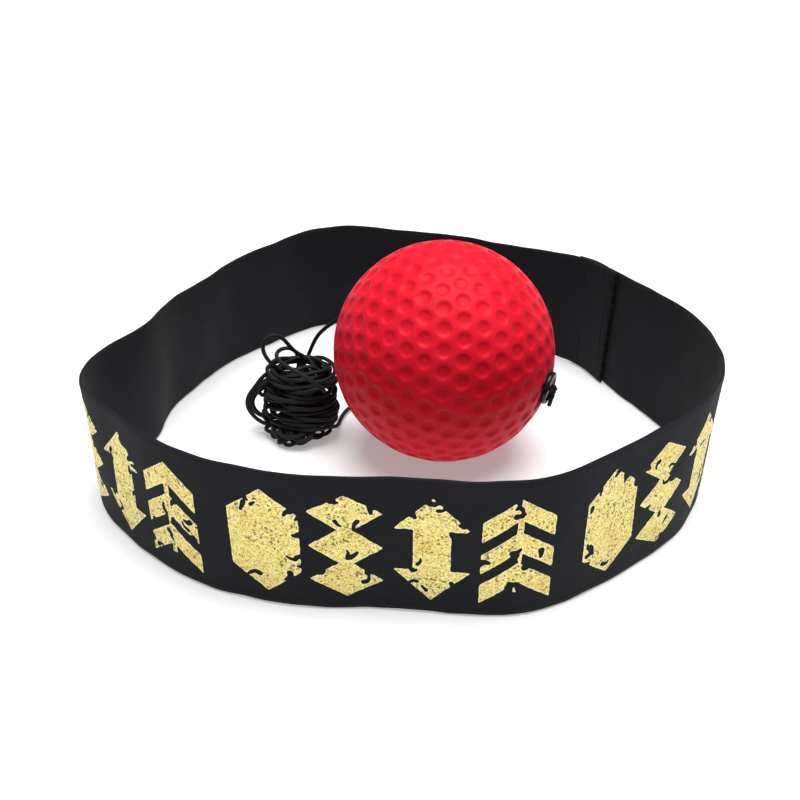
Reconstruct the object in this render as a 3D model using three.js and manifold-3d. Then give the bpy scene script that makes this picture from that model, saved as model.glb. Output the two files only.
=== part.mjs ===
// Reflex ball headband: an elastic webbing ring that is worn on the head, with
// a dimpled foam ball tethered to it by a thin elastic cord. The ring stands on
// its lower edge and the ball lies inside it, with the cord gathered in a hank
// beside the ball.
//
// Millimetres. +Z is up, the front of the ring faces -Y. The origin is on the
// standing surface, below the middle of the ring.

import * as THREE from 'three';
import { mergeVertices } from 'three/addons/utils/BufferGeometryUtils.js';
import Module from 'manifold-3d';

// ---------------------------------------------------------------- dimensions

const BAND_HEIGHT = 38;          // 1.5 inch elastic webbing
const BAND_THICKNESS = 1.2;
const BAND_STATIONS = 132;       // steps along the strip
const BAND_CENTRE = [-3.52, 0.12];

// Radius of the ring's middle surface about BAND_CENTRE, as a Fourier series
// in the plan angle: constant, cos 1, sin 1, cos 2, sin 2 ...
const TOP_EDGE_SERIES = [
  81.385, 4.427, -6.004, -1.24, 0.276, 2.712, -4.223, -0.253, 2.499, -0.248, -0.69, -0.24, -0.97,
  0.752, -0.704, -0.835, 0.122, 0.47, 0.193, 0.24, -0.022, 0.318, 0.441, -0.405, -0.143,
];
// What the lower edge adds to it, because the ring leans a little.
const LOWER_EDGE_SERIES = [
  0.165, -1.949, 2.684, -0.668, -1.079, -1.131, 0.187, -0.896, -1.12, 0.398, 0.118,
];

const SEAM_START_DEG = 28;       // end of the inner layer of the lapped seam
const SEAM_LAP_DEG = 13;         // about 18 mm of lap
const LAP_GAP = 0.3;             // between the two layers
const LAP_RAMP_DEG = 18;         // where the layers spread to pass each other
const STITCH_INSET_DEG = 2.4;    // stitch rows from each strip end
const THREAD = 0.35;

const FILM_GAP = 0.3;            // print film off the webbing
const FILM_THICKNESS = 0.2;
const PRINT_HEIGHT = 29;
const PRINT_MOTIFS = [           // centre and width along the ring, from the front
  [-29.9, 16.9], [-11.0, 17.2], [8.7, 17.8], [28.2, 16.9],
];
const PRINT_PERIOD = 84;

const BALL_RADIUS = 31.2;        // a foam ball of just over 62 mm
const BALL_CENTRE = [10.38, -5.18, 31.2];
const BORE_AXIS = [0.9009, -0.4037, -0.1612];
const BORE_RADIUS = 1.1;
const BALL_SEGMENTS = 40;
const BALL_RINGS = 26;

const CORD_RADIUS = 0.6;         // 1.2 mm elastic cord
const CORD_SIDES = 8;
const JOINT_GAP = 0.3;
const STUB_END = 32.4;           // cord end face beyond the ball, along the bore

const BUTTON_RADIUS = 4.7;
const BUTTON_HOLE = 1.05;
const BUTTON_THICKNESS = 1.5;
const SEAT_RADIUS = 5.1;         // where the button presses into the foam
const SEAT_AT = 29.6;            // from the ball's centre

const CORD_HOLE_S = -300;        // where the cord passes through the webbing
const CORD_HOLE_Z = 19;

const HANK_CENTRE = [-33.22, 3.52];
const HANK_HALF = [14.0, 13.8];
const HANK_TURN_DEG = 0;
const HANK_PROFILE = [           // share of the half size, height
  [0, 0], [0.80, 0], [0.95, 2.0], [1.0, 6.0], [0.98, 12.5], [0.86, 18.0], [0.62, 22.0], [0.3, 24.3], [0, 25.0],
];

// ---------------------------------------------------------------- helpers

const wasm = await Module();
wasm.setup();

const rad = (deg) => (deg * Math.PI) / 180;
const smooth = (t) => { const u = Math.min(1, Math.max(0, t)); return u * u * (3 - 2 * u); };

function cleaned(geometry) {
  // one closed mesh with shared vertices and outward faces
  let g = geometry.index ? geometry : geometry.clone();
  g = g.clone();
  g.deleteAttribute('normal');
  g.deleteAttribute('uv');
  g = mergeVertices(g, 1e-4);
  const pos = g.attributes.position;
  const src = g.index.array;
  const index = [];
  let volume = 0;
  const a = new THREE.Vector3(), b = new THREE.Vector3(), c = new THREE.Vector3();
  for (let i = 0; i < src.length; i += 3) {
    const [p, q, r] = [src[i], src[i + 1], src[i + 2]];
    if (p === q || q === r || r === p) continue;
    index.push(p, q, r);
    a.fromBufferAttribute(pos, p); b.fromBufferAttribute(pos, q); c.fromBufferAttribute(pos, r);
    volume += a.dot(b.cross(c)) / 6;
  }
  if (volume < 0) for (let i = 0; i < index.length; i += 3) { const t = index[i]; index[i] = index[i + 1]; index[i + 1] = t; }
  g.setIndex(index);
  return g;
}

function solid(geometry) {
  const g = cleaned(geometry);
  return new wasm.Manifold(new wasm.Mesh({
    numProp: 3,
    vertProperties: Float32Array.from(g.attributes.position.array),
    triVerts: Uint32Array.from(g.index.array),
  }));
}

function fromSolid(s) {
  const m = s.getMesh();
  const g = new THREE.BufferGeometry();
  const n = m.vertProperties.length / m.numProp;
  const p = new Float32Array(n * 3);
  for (let i = 0; i < n; i++) for (let k = 0; k < 3; k++) p[i * 3 + k] = m.vertProperties[i * m.numProp + k];
  g.setAttribute('position', new THREE.BufferAttribute(p, 3));
  g.setIndex(Array.from(m.triVerts));
  return g;
}

function series(c, th) {
  let v = c[0];
  for (let k = 1; 2 * k <= c.length - 1; k++) v += c[2 * k - 1] * Math.cos(k * th) + c[2 * k] * Math.sin(k * th);
  return v;
}

// A point on the ring's middle surface at plan angle th and height z.
function ringPoint(th, z) {
  const top = series(TOP_EDGE_SERIES, th);
  const low = top + series(LOWER_EDGE_SERIES, th);
  const r = low + ((top - low) * z) / BAND_HEIGHT;
  return new THREE.Vector3(BAND_CENTRE[0] + r * Math.cos(th), BAND_CENTRE[1] + r * Math.sin(th), z);
}

function ringNormal(th, z) {
  const d = 1e-3;
  const t = ringPoint(th + d, z).sub(ringPoint(th - d, z)).normalize();
  return new THREE.Vector3(t.y, -t.x, 0).normalize();
}

const TH0 = rad(SEAM_START_DEG);
const TH1 = TH0 + 2 * Math.PI + rad(SEAM_LAP_DEG);
const LAP_SHIFT = (BAND_THICKNESS + LAP_GAP) / 2;

// The strip's own shift off the middle surface: inwards at its first end and
// outwards at its last, so that the two layers of the seam lie face to face.
function lapShift(th) {
  const flat = rad(SEAM_LAP_DEG + 1.5);
  const ramp = rad(LAP_RAMP_DEG);
  return -LAP_SHIFT * (1 - smooth((th - TH0 - flat) / ramp)) + LAP_SHIFT * (1 - smooth((TH1 - th - flat) / ramp));
}

function stripPoint(th, z, off) {
  return ringPoint(th, z).addScaledVector(ringNormal(th, z), lapShift(th) + off);
}

// Arc length along the strip at half height, zero at the front middle.
const ARC = [];
{
  const n = 3000;
  let s = 0, last = null;
  for (let i = 0; i <= n; i++) {
    const th = TH0 + ((TH1 - TH0) * i) / n;
    const p = ringPoint(th, BAND_HEIGHT / 2);
    if (last) s += p.distanceTo(last);
    ARC.push([th, s]);
    last = p;
  }
  const front = rad(270);
  const i0 = ARC.findIndex((e) => e[0] >= front);
  const s0 = ARC[i0][1];
  for (const e of ARC) e[1] -= s0;
}
const S_START = ARC[0][1];
const S_END = ARC[ARC.length - 1][1];

function angleAt(s) {
  let lo = 0, hi = ARC.length - 1;
  while (hi - lo > 1) { const m = (lo + hi) >> 1; if (ARC[m][1] <= s) lo = m; else hi = m; }
  const [t0, a0] = ARC[lo], [t1, a1] = ARC[hi];
  return t0 + ((t1 - t0) * (s - a0)) / (a1 - a0);
}

// A box given along the strip (x), up it (y) and out of it (z), bent to the ring.
function bent(width, height, depth, steps, s, z, off) {
  const g = new THREE.BoxGeometry(width, height, depth, steps, 1, 1);
  const pos = g.attributes.position;
  for (let i = 0; i < pos.count; i++) {
    const p = stripPoint(angleAt(s + pos.getX(i)), z + pos.getY(i), off + pos.getZ(i));
    pos.setXYZ(i, p.x, p.y, p.z);
  }
  return g;
}

function circle(r, sides) {
  const pts = [];
  for (let i = 0; i < sides; i++) {
    const a = (2 * Math.PI * (i + 0.5)) / sides;
    pts.push(new THREE.Vector2(r * Math.cos(a), r * Math.sin(a)));
  }
  return new THREE.Shape(pts);
}

function tube(points, steps, r = CORD_RADIUS, sides = CORD_SIDES) {
  const curve = new THREE.CatmullRomCurve3(points.map((p) => new THREE.Vector3(...p)), false, 'centripetal');
  return new THREE.ExtrudeGeometry(circle(r, sides), { steps, extrudePath: curve, bevelEnabled: false, curveSegments: 1 });
}

function polygon(pts, depth) {
  return new THREE.ExtrudeGeometry(new THREE.Shape(pts.map(([x, y]) => new THREE.Vector2(x, y))),
    { depth, bevelEnabled: false }).translate(0, 0, -depth / 2);
}

// ---------------------------------------------------------------- materials

const material = (color, roughness, metalness = 0) => new THREE.MeshStandardMaterial({ color, roughness, metalness });
const webbing = material(0x17181c, 0.92);
const sewing = material(0x101114, 0.7);
const foil = material(0xcdb356, 0.45, 0.6);
const foam = material(0xd41f3a, 0.5);
const cord = material(0x0e0f12, 0.75);
const plastic = material(0x08090b, 0.2);

const root = new THREE.Group();
function piece(name, geometry, mat, parent = root) {
  const mesh = new THREE.Mesh(geometry, mat);
  mesh.name = name;
  parent.add(mesh);
  return mesh;
}

// ---------------------------------------------------------------- webbing ring

const holeAngle = angleAt(CORD_HOLE_S);
const holePoint = stripPoint(holeAngle, CORD_HOLE_Z, 0);
const holeNormal = (() => {       // square to the leaning webbing
  const t = ringPoint(holeAngle + 1e-3, CORD_HOLE_Z).sub(ringPoint(holeAngle - 1e-3, CORD_HOLE_Z));
  const u = stripPoint(holeAngle, BAND_HEIGHT, 0).sub(stripPoint(holeAngle, 0, 0));
  return t.cross(u).normalize();
})();
const holeTurn = new THREE.Quaternion().setFromUnitVectors(new THREE.Vector3(0, 1, 0), holeNormal);

{
  const length = S_END - S_START;
  const strip = bent(length, BAND_HEIGHT, BAND_THICKNESS, BAND_STATIONS, (S_START + S_END) / 2, BAND_HEIGHT / 2, 0);
  const drill = new THREE.CylinderGeometry(BORE_RADIUS, BORE_RADIUS, 8, 12)
    .applyQuaternion(holeTurn).translate(holePoint.x, holePoint.y, holePoint.z);
  piece('headband_strap', fromSolid(solid(strip).subtract(solid(drill))), webbing);
}

// Two lockstitched rows hold the lap: each has a needle thread outside and a
// bobbin thread inside.
{
  const arcAt = (a) => ARC.find((e) => e[0] >= a)[1];
  const outerTotal = BAND_THICKNESS / 2 + FILM_GAP + THREAD / 2;
  const rows = [
    ['seam_left_row', TH0 + rad(SEAM_LAP_DEG - STITCH_INSET_DEG)],
    ['seam_right_row', TH0 + rad(STITCH_INSET_DEG)],
  ];
  for (const [name, a] of rows) {
    const sInner = arcAt(a);
    const sOuter = arcAt(a + 2 * Math.PI);
    piece(`${name}_needle_thread`, bent(0.6, 34, THREAD, 1, sOuter, BAND_HEIGHT / 2, outerTotal), sewing);
    piece(`${name}_bobbin_thread`, bent(0.6, 34, THREAD, 1, sInner, BAND_HEIGHT / 2, -outerTotal), sewing);
  }
}

// ---------------------------------------------------------------- print films

const h = PRINT_HEIGHT / 2;
function motifPrism(kind, w) {
  const x = w / 2;
  if (kind === 'hexagon') {        // long hexagon, pointed at the top and bottom
    return solid(polygon([[0, -h], [x, -h + 6.5], [x, h - 6.5], [0, h], [-x, h - 6.5], [-x, -h + 6.5]], 16));
  }
  if (kind === 'argyle') {         // three lozenges in a column, joined at their tips
    const t = h / 3;
    return solid(polygon([[0, -h], [x, -2 * t], [1.6, -t], [x, 0], [1.6, t], [x, 2 * t], [0, h],
      [-x, 2 * t], [-1.6, t], [-x, 0], [-1.6, -t], [-x, -2 * t]], 16));
  }
  if (kind === 'arrow') {          // double-headed arrow
    return solid(polygon([[0, -h], [x, -h + 8.8], [4.3, -h + 8.8], [4.3, h - 8.8], [x, h - 8.8], [0, h], [-x, h - 8.8], [-4.3, h - 8.8], [-4.3, -h + 8.8], [-x, -h + 8.8]], 16));
  }
  // stacked chevrons on a thin spine
  let s = solid(polygon([[-0.7, -h + 3], [0.7, -h + 3], [0.7, h - 3], [-0.7, h - 3]], 16));
  for (let i = 0; i < 3; i++) {
    const t = h - i * 8.75;
    s = s.add(solid(polygon([[-x, t - 11.5], [0, t - 5.5], [x, t - 11.5], [x, t - 6], [0, t], [-x, t - 6]], 16)));
  }
  return s;
}

const KINDS = ['hexagon', 'argyle', 'arrow', 'chevrons'];
{
  let n = 0;
  for (let k = -3; k <= 2; k++) {
    PRINT_MOTIFS.forEach(([c, w], i) => {
      const s = c + k * PRINT_PERIOD;
      if (angleAt(s + w / 2) > TH0 + 2 * Math.PI - rad(1)) return;   // none on the lap
      const th = angleAt(s);
      const origin = stripPoint(th, BAND_HEIGHT / 2, 0);
      const yAxis = stripPoint(th, BAND_HEIGHT, 0).sub(stripPoint(th, 0, 0)).normalize();
      const normal = ringNormal(th, BAND_HEIGHT / 2);
      const xAxis = new THREE.Vector3().crossVectors(yAxis, normal).normalize();
      const zAxis = new THREE.Vector3().crossVectors(xAxis, yAxis).normalize();
      const turn = new THREE.Matrix4().makeBasis(xAxis, yAxis, zAxis).setPosition(origin);
      const centreZ = BAND_HEIGHT / 2 - 0.4;
      const skin = bent(w + 4, PRINT_HEIGHT + 4, FILM_THICKNESS, Math.ceil((w + 4) / 3.4), s, centreZ,
        BAND_THICKNESS / 2 + FILM_GAP + FILM_THICKNESS / 2);
      const prism = fromSolid(motifPrism(KINDS[i], w)).applyMatrix4(turn);
      n += 1;
      piece(`print_${KINDS[i]}_${String(n).padStart(2, '0')}`, fromSolid(solid(skin).intersect(solid(prism))), foil);
    });
  }
}

// ---------------------------------------------------------------- band end of the cord

function buttonProfile(hole, from) {
  return [
    [hole, from], [BUTTON_RADIUS - 0.6, from], [BUTTON_RADIUS - 0.1, from + 0.3], [BUTTON_RADIUS, from + 0.9],
    [BUTTON_RADIUS - 0.2, from + BUTTON_THICKNESS - 0.25], [BUTTON_RADIUS - 0.8, from + BUTTON_THICKNESS],
    [BUTTON_RADIUS - 1.5, from + BUTTON_THICKNESS - 0.3], [BUTTON_RADIUS - 2.2, from + BUTTON_THICKNESS - 0.6],
    [hole, from + BUTTON_THICKNESS - 0.6], [hole, from],
  ].map(([x, y]) => new THREE.Vector2(x, y));
}

function knotProfile(from) {
  return [[0, from], [1.2, from], [1.8, from + 0.6], [1.8, from + 1.2], [1.2, from + 1.8], [0, from + 2.0]]
    .map(([x, y]) => new THREE.Vector2(x, y));
}

const bandEnd = new THREE.Group();
bandEnd.position.copy(holePoint);
bandEnd.quaternion.copy(holeTurn);
root.add(bandEnd);
const FACE = BAND_THICKNESS / 2;
piece('band_button', new THREE.LatheGeometry(buttonProfile(BUTTON_HOLE, FACE + JOINT_GAP), 24), plastic, bandEnd);
{
  const knot = new THREE.LatheGeometry(knotProfile(FACE + JOINT_GAP + BUTTON_THICKNESS - 0.6 + JOINT_GAP), 14);
  const k = FACE + JOINT_GAP + BUTTON_THICKNESS + JOINT_GAP;
  const tail = tube([[0.3, k + 0.6, 0], [1.6, k + 1.4, 0.4], [3.6, k + 1.5, 1.0], [5.6, k + 1.3, 1.4], [7.6, k + 0.9, 1.6]], 6);
  piece('band_end_knot', fromSolid(solid(knot).add(solid(tail))), cord, bandEnd);
}

// ---------------------------------------------------------------- free cord

const fromHole = (d, dz = 0) => {
  const p = holePoint.clone().addScaledVector(holeNormal, d);
  return [p.x, p.y, p.z + dz];
};
// Starts in the button's hole, comes out of the webbing's inner face, falls to
// the standing surface and runs behind the ball to the hank.
const LEAD_BAND = [
  fromHole(FACE + 0.9), fromHole(-1.5), fromHole(-4.5, -0.5), fromHole(-8.0, -3.0),
  [26.6, 54.3, 9.60], [22.0, 49.3, 3.80], [16.0, 44.5, 1.00], [8.6, 39.8, 0.85],
  [0.6, 34.5, 0.85], [-7.4, 28.7, 0.85], [-13.9, 22.5, 0.85], [-17.9, 17.1, 1.10], [-20.2, 11.9, 1.70],
];
piece('cord_lead_band', tube(LEAD_BAND, 34), cord);

{
  const g = new THREE.LatheGeometry(HANK_PROFILE.map(([x, y]) => new THREE.Vector2(x, y)), 28);
  g.rotateX(Math.PI / 2);
  g.scale(HANK_HALF[0], HANK_HALF[1], 1);
  g.rotateZ(rad(HANK_TURN_DEG));
  g.translate(HANK_CENTRE[0], HANK_CENTRE[1], 0);
  piece('cord_hank', g, cord);
}

const axis = new THREE.Vector3(...BORE_AXIS).normalize();
const ballCentre = new THREE.Vector3(...BALL_CENTRE);
const along = (t) => { const p = ballCentre.clone().addScaledVector(axis, t); return [p.x, p.y, p.z]; };
// From the hank's top up to the short end that stands out of the ball.
const LEAD_BALL = [
  along(-STUB_END - JOINT_GAP), along(-33.4),
  [-21.2, 9.2, 35.2], [-21.9, 9.9, 33.4], [-23.3, 11.2, 31.4], [-24.9, 12.6, 29.6], [-26.0, 13.5, 28.2], [-27.9, 14.6, 24.9], [-28.9, 15.0, 22.0], [-29.4, 15.2, 19.7],
];
piece('cord_lead_ball', tube(LEAD_BALL, 10), cord);

// ---------------------------------------------------------------- ball and its tether end

const tether = new THREE.Group();
tether.position.copy(ballCentre);
tether.quaternion.setFromUnitVectors(new THREE.Vector3(0, 1, 0), axis);
root.add(tether);

{
  const a0 = Math.asin(BORE_RADIUS / BALL_RADIUS);
  const a1 = Math.PI - Math.asin(SEAT_RADIUS / BALL_RADIUS);
  const pts = [];
  for (let i = 0; i <= BALL_RINGS; i++) {
    const a = a0 + ((a1 - a0) * i) / BALL_RINGS;
    pts.push(new THREE.Vector2(BALL_RADIUS * Math.sin(a), -BALL_RADIUS * Math.cos(a)));
  }
  pts.push(new THREE.Vector2(SEAT_RADIUS, SEAT_AT), new THREE.Vector2(BORE_RADIUS, SEAT_AT), pts[0].clone());
  piece('ball_foam', new THREE.LatheGeometry(pts, BALL_SEGMENTS), foam, tether);
}

const BUTTON_FROM = SEAT_AT + JOINT_GAP;
piece('ball_button', new THREE.LatheGeometry(buttonProfile(BUTTON_HOLE, BUTTON_FROM), 24), plastic, tether);

{
  const knotFrom = BUTTON_FROM + BUTTON_THICKNESS - 0.6 + JOINT_GAP;
  const length = STUB_END + knotFrom - JOINT_GAP;
  const g = new THREE.CylinderGeometry(CORD_RADIUS, CORD_RADIUS, length, CORD_SIDES);
  g.translate(0, (knotFrom - JOINT_GAP - STUB_END) / 2, 0);
  piece('cord_in_ball', g, cord, tether);

  const knot = new THREE.LatheGeometry(knotProfile(knotFrom), 14);
  // the cut tail lies over the button's rim, pointing down
  const down = new THREE.Vector3(0, 0, -1).applyQuaternion(tether.quaternion.clone().invert());
  down.y = 0;
  down.normalize();
  const side = new THREE.Vector3().crossVectors(new THREE.Vector3(0, 1, 0), down);
  const at = (out, dn, sd) => [down.x * dn + side.x * sd, out, down.z * dn + side.z * sd];
  const k = BUTTON_FROM + BUTTON_THICKNESS + JOINT_GAP;
  const tail = tube([at(k + 0.6, 0.3, 0), at(k + 0.9, 1.6, 0.2), at(k + 0.95, 3.0, 0.3), at(k + 0.8, 4.4, 0.4), at(k + 0.4, 5.8, 0.4)], 6);
  piece('ball_end_knot', fromSolid(solid(knot).add(solid(tail))), cord, tether);
}

for (const m of root.children.flatMap((c) => (c.isMesh ? [c] : c.children))) {
  m.geometry = cleaned(m.geometry);
  m.geometry.computeVertexNormals();
}

export default root;
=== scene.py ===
import math
import random

import bmesh
import bpy
import numpy as np
from mathutils import Matrix, Vector


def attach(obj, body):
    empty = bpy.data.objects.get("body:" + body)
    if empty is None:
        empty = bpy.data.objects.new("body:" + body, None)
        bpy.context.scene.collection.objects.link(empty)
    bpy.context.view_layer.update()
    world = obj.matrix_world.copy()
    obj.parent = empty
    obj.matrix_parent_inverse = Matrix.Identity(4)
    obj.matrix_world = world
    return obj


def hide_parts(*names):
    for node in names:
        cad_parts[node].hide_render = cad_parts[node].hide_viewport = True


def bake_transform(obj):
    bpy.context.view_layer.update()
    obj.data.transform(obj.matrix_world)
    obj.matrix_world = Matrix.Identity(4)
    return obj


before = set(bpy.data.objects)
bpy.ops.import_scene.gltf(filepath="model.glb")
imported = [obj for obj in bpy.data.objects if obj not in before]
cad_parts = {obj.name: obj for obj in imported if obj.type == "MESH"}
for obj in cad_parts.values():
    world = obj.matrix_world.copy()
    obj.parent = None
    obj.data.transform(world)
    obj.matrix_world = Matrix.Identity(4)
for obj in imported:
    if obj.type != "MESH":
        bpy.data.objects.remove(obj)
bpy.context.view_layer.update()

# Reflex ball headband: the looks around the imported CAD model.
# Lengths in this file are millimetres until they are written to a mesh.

MM = 0.001
scene = bpy.context.scene

# ------------------------------------------------------------------ camera

cam_data = bpy.data.cameras.new("view_camera")
cam_data.sensor_width = 36.0
cam_data.lens = 49.26
cam_data.clip_start = 0.01
cam_data.clip_end = 50.0
cam = bpy.data.objects.new("view_camera", cam_data)
scene.collection.objects.link(cam)
CAM_AT = Vector((-2.02, -284.91, 164.32)) * MM
CAM_TO = Vector((-2.02, 24.12, 0.0)) * MM
cam.location = CAM_AT
cam.rotation_euler = (CAM_TO - CAM_AT).to_track_quat("-Z", "Y").to_euler()
scene.camera = cam

# ------------------------------------------------------------------ dimensions shared with the CAD model

BAND_HEIGHT = 38.0
HALF_THICK = 0.6
BAND_CENTRE = (-3.52, 0.12)
TOP_EDGE_SERIES = [
    81.385, 4.427, -6.004, -1.24, 0.276, 2.712, -4.223, -0.253, 2.499, -0.248, -0.69, -0.24, -0.97,
    0.752, -0.704, -0.835, 0.122, 0.47, 0.193, 0.24, -0.022, 0.318, 0.441, -0.405, -0.143,
]
LOWER_EDGE_SERIES = [0.165, -1.949, 2.684, -0.668, -1.079, -1.131, 0.187, -0.896, -1.12, 0.398, 0.118]
SEAM_START = math.radians(28)
SEAM_LAP_DEG = 13.0
LAP_SHIFT = 0.75
LAP_RAMP_DEG = 18.0
STITCH_INSET_DEG = 2.4
PRINT_MOTIFS = [(-29.9, 16.9), (-11.0, 17.2), (8.7, 17.8), (28.2, 16.9)]
PRINT_PERIOD = 84.0
PRINT_HEIGHT = 29.0
PRINT_Z = BAND_HEIGHT / 2 - 0.4

BALL_RADIUS = 31.2
BALL_CENTRE = np.array([10.38, -5.18, 31.2])
BORE_AXIS = np.array([0.9009, -0.4037, -0.1612])
BORE_AXIS = BORE_AXIS / np.linalg.norm(BORE_AXIS)
CORD_D = 1.2
BUTTON_RADIUS = 4.7
SEAT_RADIUS = 5.1
SEAT_AT = 29.6
BUTTON_FROM = 30.7
BUTTON_THICKNESS = 1.5
HOLE_POINT = np.array([35.09904, 65.14813, 19.0])
HOLE_NORMAL = np.array([0.47154863, 0.87710525, 0.09125934])


def along_bore(t):
    return BALL_CENTRE + BORE_AXIS * t


# ------------------------------------------------------------------ small helpers

def smooth(t):
    t = np.clip(t, 0.0, 1.0)
    return t * t * (3 - 2 * t)


def new_object(name, verts_mm, faces, uvs=None, shade=True, attrs=None, crease_deg=None):
    """A mesh object from millimetre points. uvs holds one pair per face corner."""
    me = bpy.data.meshes.new(name)
    v = (np.asarray(verts_mm, float) * MM).tolist()
    me.from_pydata(v, [], [list(map(int, f)) for f in faces])
    me.update()
    if uvs is not None:
        layer = me.uv_layers.new(name="weave")
        layer.data.foreach_set("uv", np.asarray(uvs, np.float32).ravel())
    for key, values in (attrs or {}).items():
        a = me.attributes.new(key, "FLOAT", "POINT")
        a.data.foreach_set("value", np.asarray(values, np.float32))
    if shade:
        me.polygons.foreach_set("use_smooth", [True] * len(me.polygons))
    if crease_deg is not None:
        me.set_sharp_from_angle(angle=math.radians(crease_deg))
    ob = bpy.data.objects.new(name, me)
    scene.collection.objects.link(ob)
    return ob


def frames_along(path):
    """Unit tangents and two turning-free normals at each point of a path."""
    p = np.asarray(path, float)
    t = np.gradient(p, axis=0)
    t /= np.linalg.norm(t, axis=1)[:, None]
    n = np.zeros_like(p)
    ref = np.array([0.0, 0.0, 1.0]) if abs(t[0][2]) < 0.9 else np.array([1.0, 0.0, 0.0])
    n[0] = np.cross(t[0], ref)
    n[0] /= np.linalg.norm(n[0])
    for i in range(1, len(p)):
        v = n[i - 1] - t[i] * np.dot(n[i - 1], t[i])
        n[i] = v / np.linalg.norm(v)
    return t, n, np.cross(t, n)


def tube(name, path, radius, sides, round_ends=True, radius_at=None):
    """A closed tube along path (mm), with a length coordinate in its uv map."""
    p = np.asarray(path, float)
    t, n, b = frames_along(p)
    s = np.concatenate([[0], np.cumsum(np.linalg.norm(np.diff(p, axis=0), axis=1))])
    rad = np.full(len(p), radius, float) if radius_at is None else np.asarray(radius_at, float)
    ang = 2 * np.pi * np.arange(sides) / sides
    ring = rad[:, None, None] * (n[:, None, :] * np.cos(ang)[None, :, None] + b[:, None, :] * np.sin(ang)[None, :, None])
    verts = (p[:, None, :] + ring).reshape(-1, 3)
    m = len(p)
    faces, uvs = [], []
    for i in range(m - 1):
        for k in range(sides):
            k1 = (k + 1) % sides
            faces.append((i * sides + k, i * sides + k1, (i + 1) * sides + k1, (i + 1) * sides + k))
            u0, u1 = k / sides, (k + 1) / sides
            uvs += [(u0, s[i] * MM), (u1, s[i] * MM), (u1, s[i + 1] * MM), (u0, s[i + 1] * MM)]
    verts = verts.tolist()
    for i, sg in ((0, -1), (m - 1, 1)):
        tip = len(verts)
        bulge = 0.45 if round_ends else 0.0
        verts.append((p[i] + t[i] * sg * rad[i] * bulge).tolist())
        for k in range(sides):
            k1 = (k + 1) % sides
            a, c = i * sides + k, i * sides + k1
            faces.append((a, c, tip) if sg > 0 else (c, a, tip))
            uvs += [(k / sides, s[i] * MM)] * 3
    return new_object(name, verts, faces, uvs)


def catmull(points, step):
    """Centripetal Catmull-Rom curve through points (mm), sampled about every step."""
    P = np.asarray(points, float)
    Q = np.vstack([2 * P[0] - P[1], P, 2 * P[-1] - P[-2]])
    out = []
    for i in range(1, len(Q) - 2):
        p0, p1, p2, p3 = Q[i - 1:i + 3]
        t1 = max(np.linalg.norm(p1 - p0), 1e-6) ** 0.5
        t2 = t1 + max(np.linalg.norm(p2 - p1), 1e-6) ** 0.5
        t3 = t2 + max(np.linalg.norm(p3 - p2), 1e-6) ** 0.5
        k = max(1, int(round(np.linalg.norm(p2 - p1) / step)))
        t = t1 + (t2 - t1) * np.arange(k)[:, None] / k
        a1 = (t1 - t) / t1 * p0 + t / t1 * p1
        a2 = (t2 - t) / (t2 - t1) * p1 + (t - t1) / (t2 - t1) * p2
        a3 = (t3 - t) / (t3 - t2) * p2 + (t - t2) / (t3 - t2) * p3
        b1 = (t2 - t) / t2 * a1 + t / t2 * a2
        b2 = (t3 - t) / (t3 - t1) * a2 + (t - t1) / (t3 - t1) * a3
        out.append((t2 - t) / (t2 - t1) * b1 + (t - t1) / (t2 - t1) * b2)
    out.append(Q[-2:-1])
    return np.vstack(out)


# ------------------------------------------------------------------ free cord
# One continuous 1.2 mm elastic cord: from the hole in the webbing down to the
# floor, behind the ball, through the whole wound hank, and up into the ball.
# Route points in hundredths of a millimetre, about 2.2 mm apart.

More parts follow.
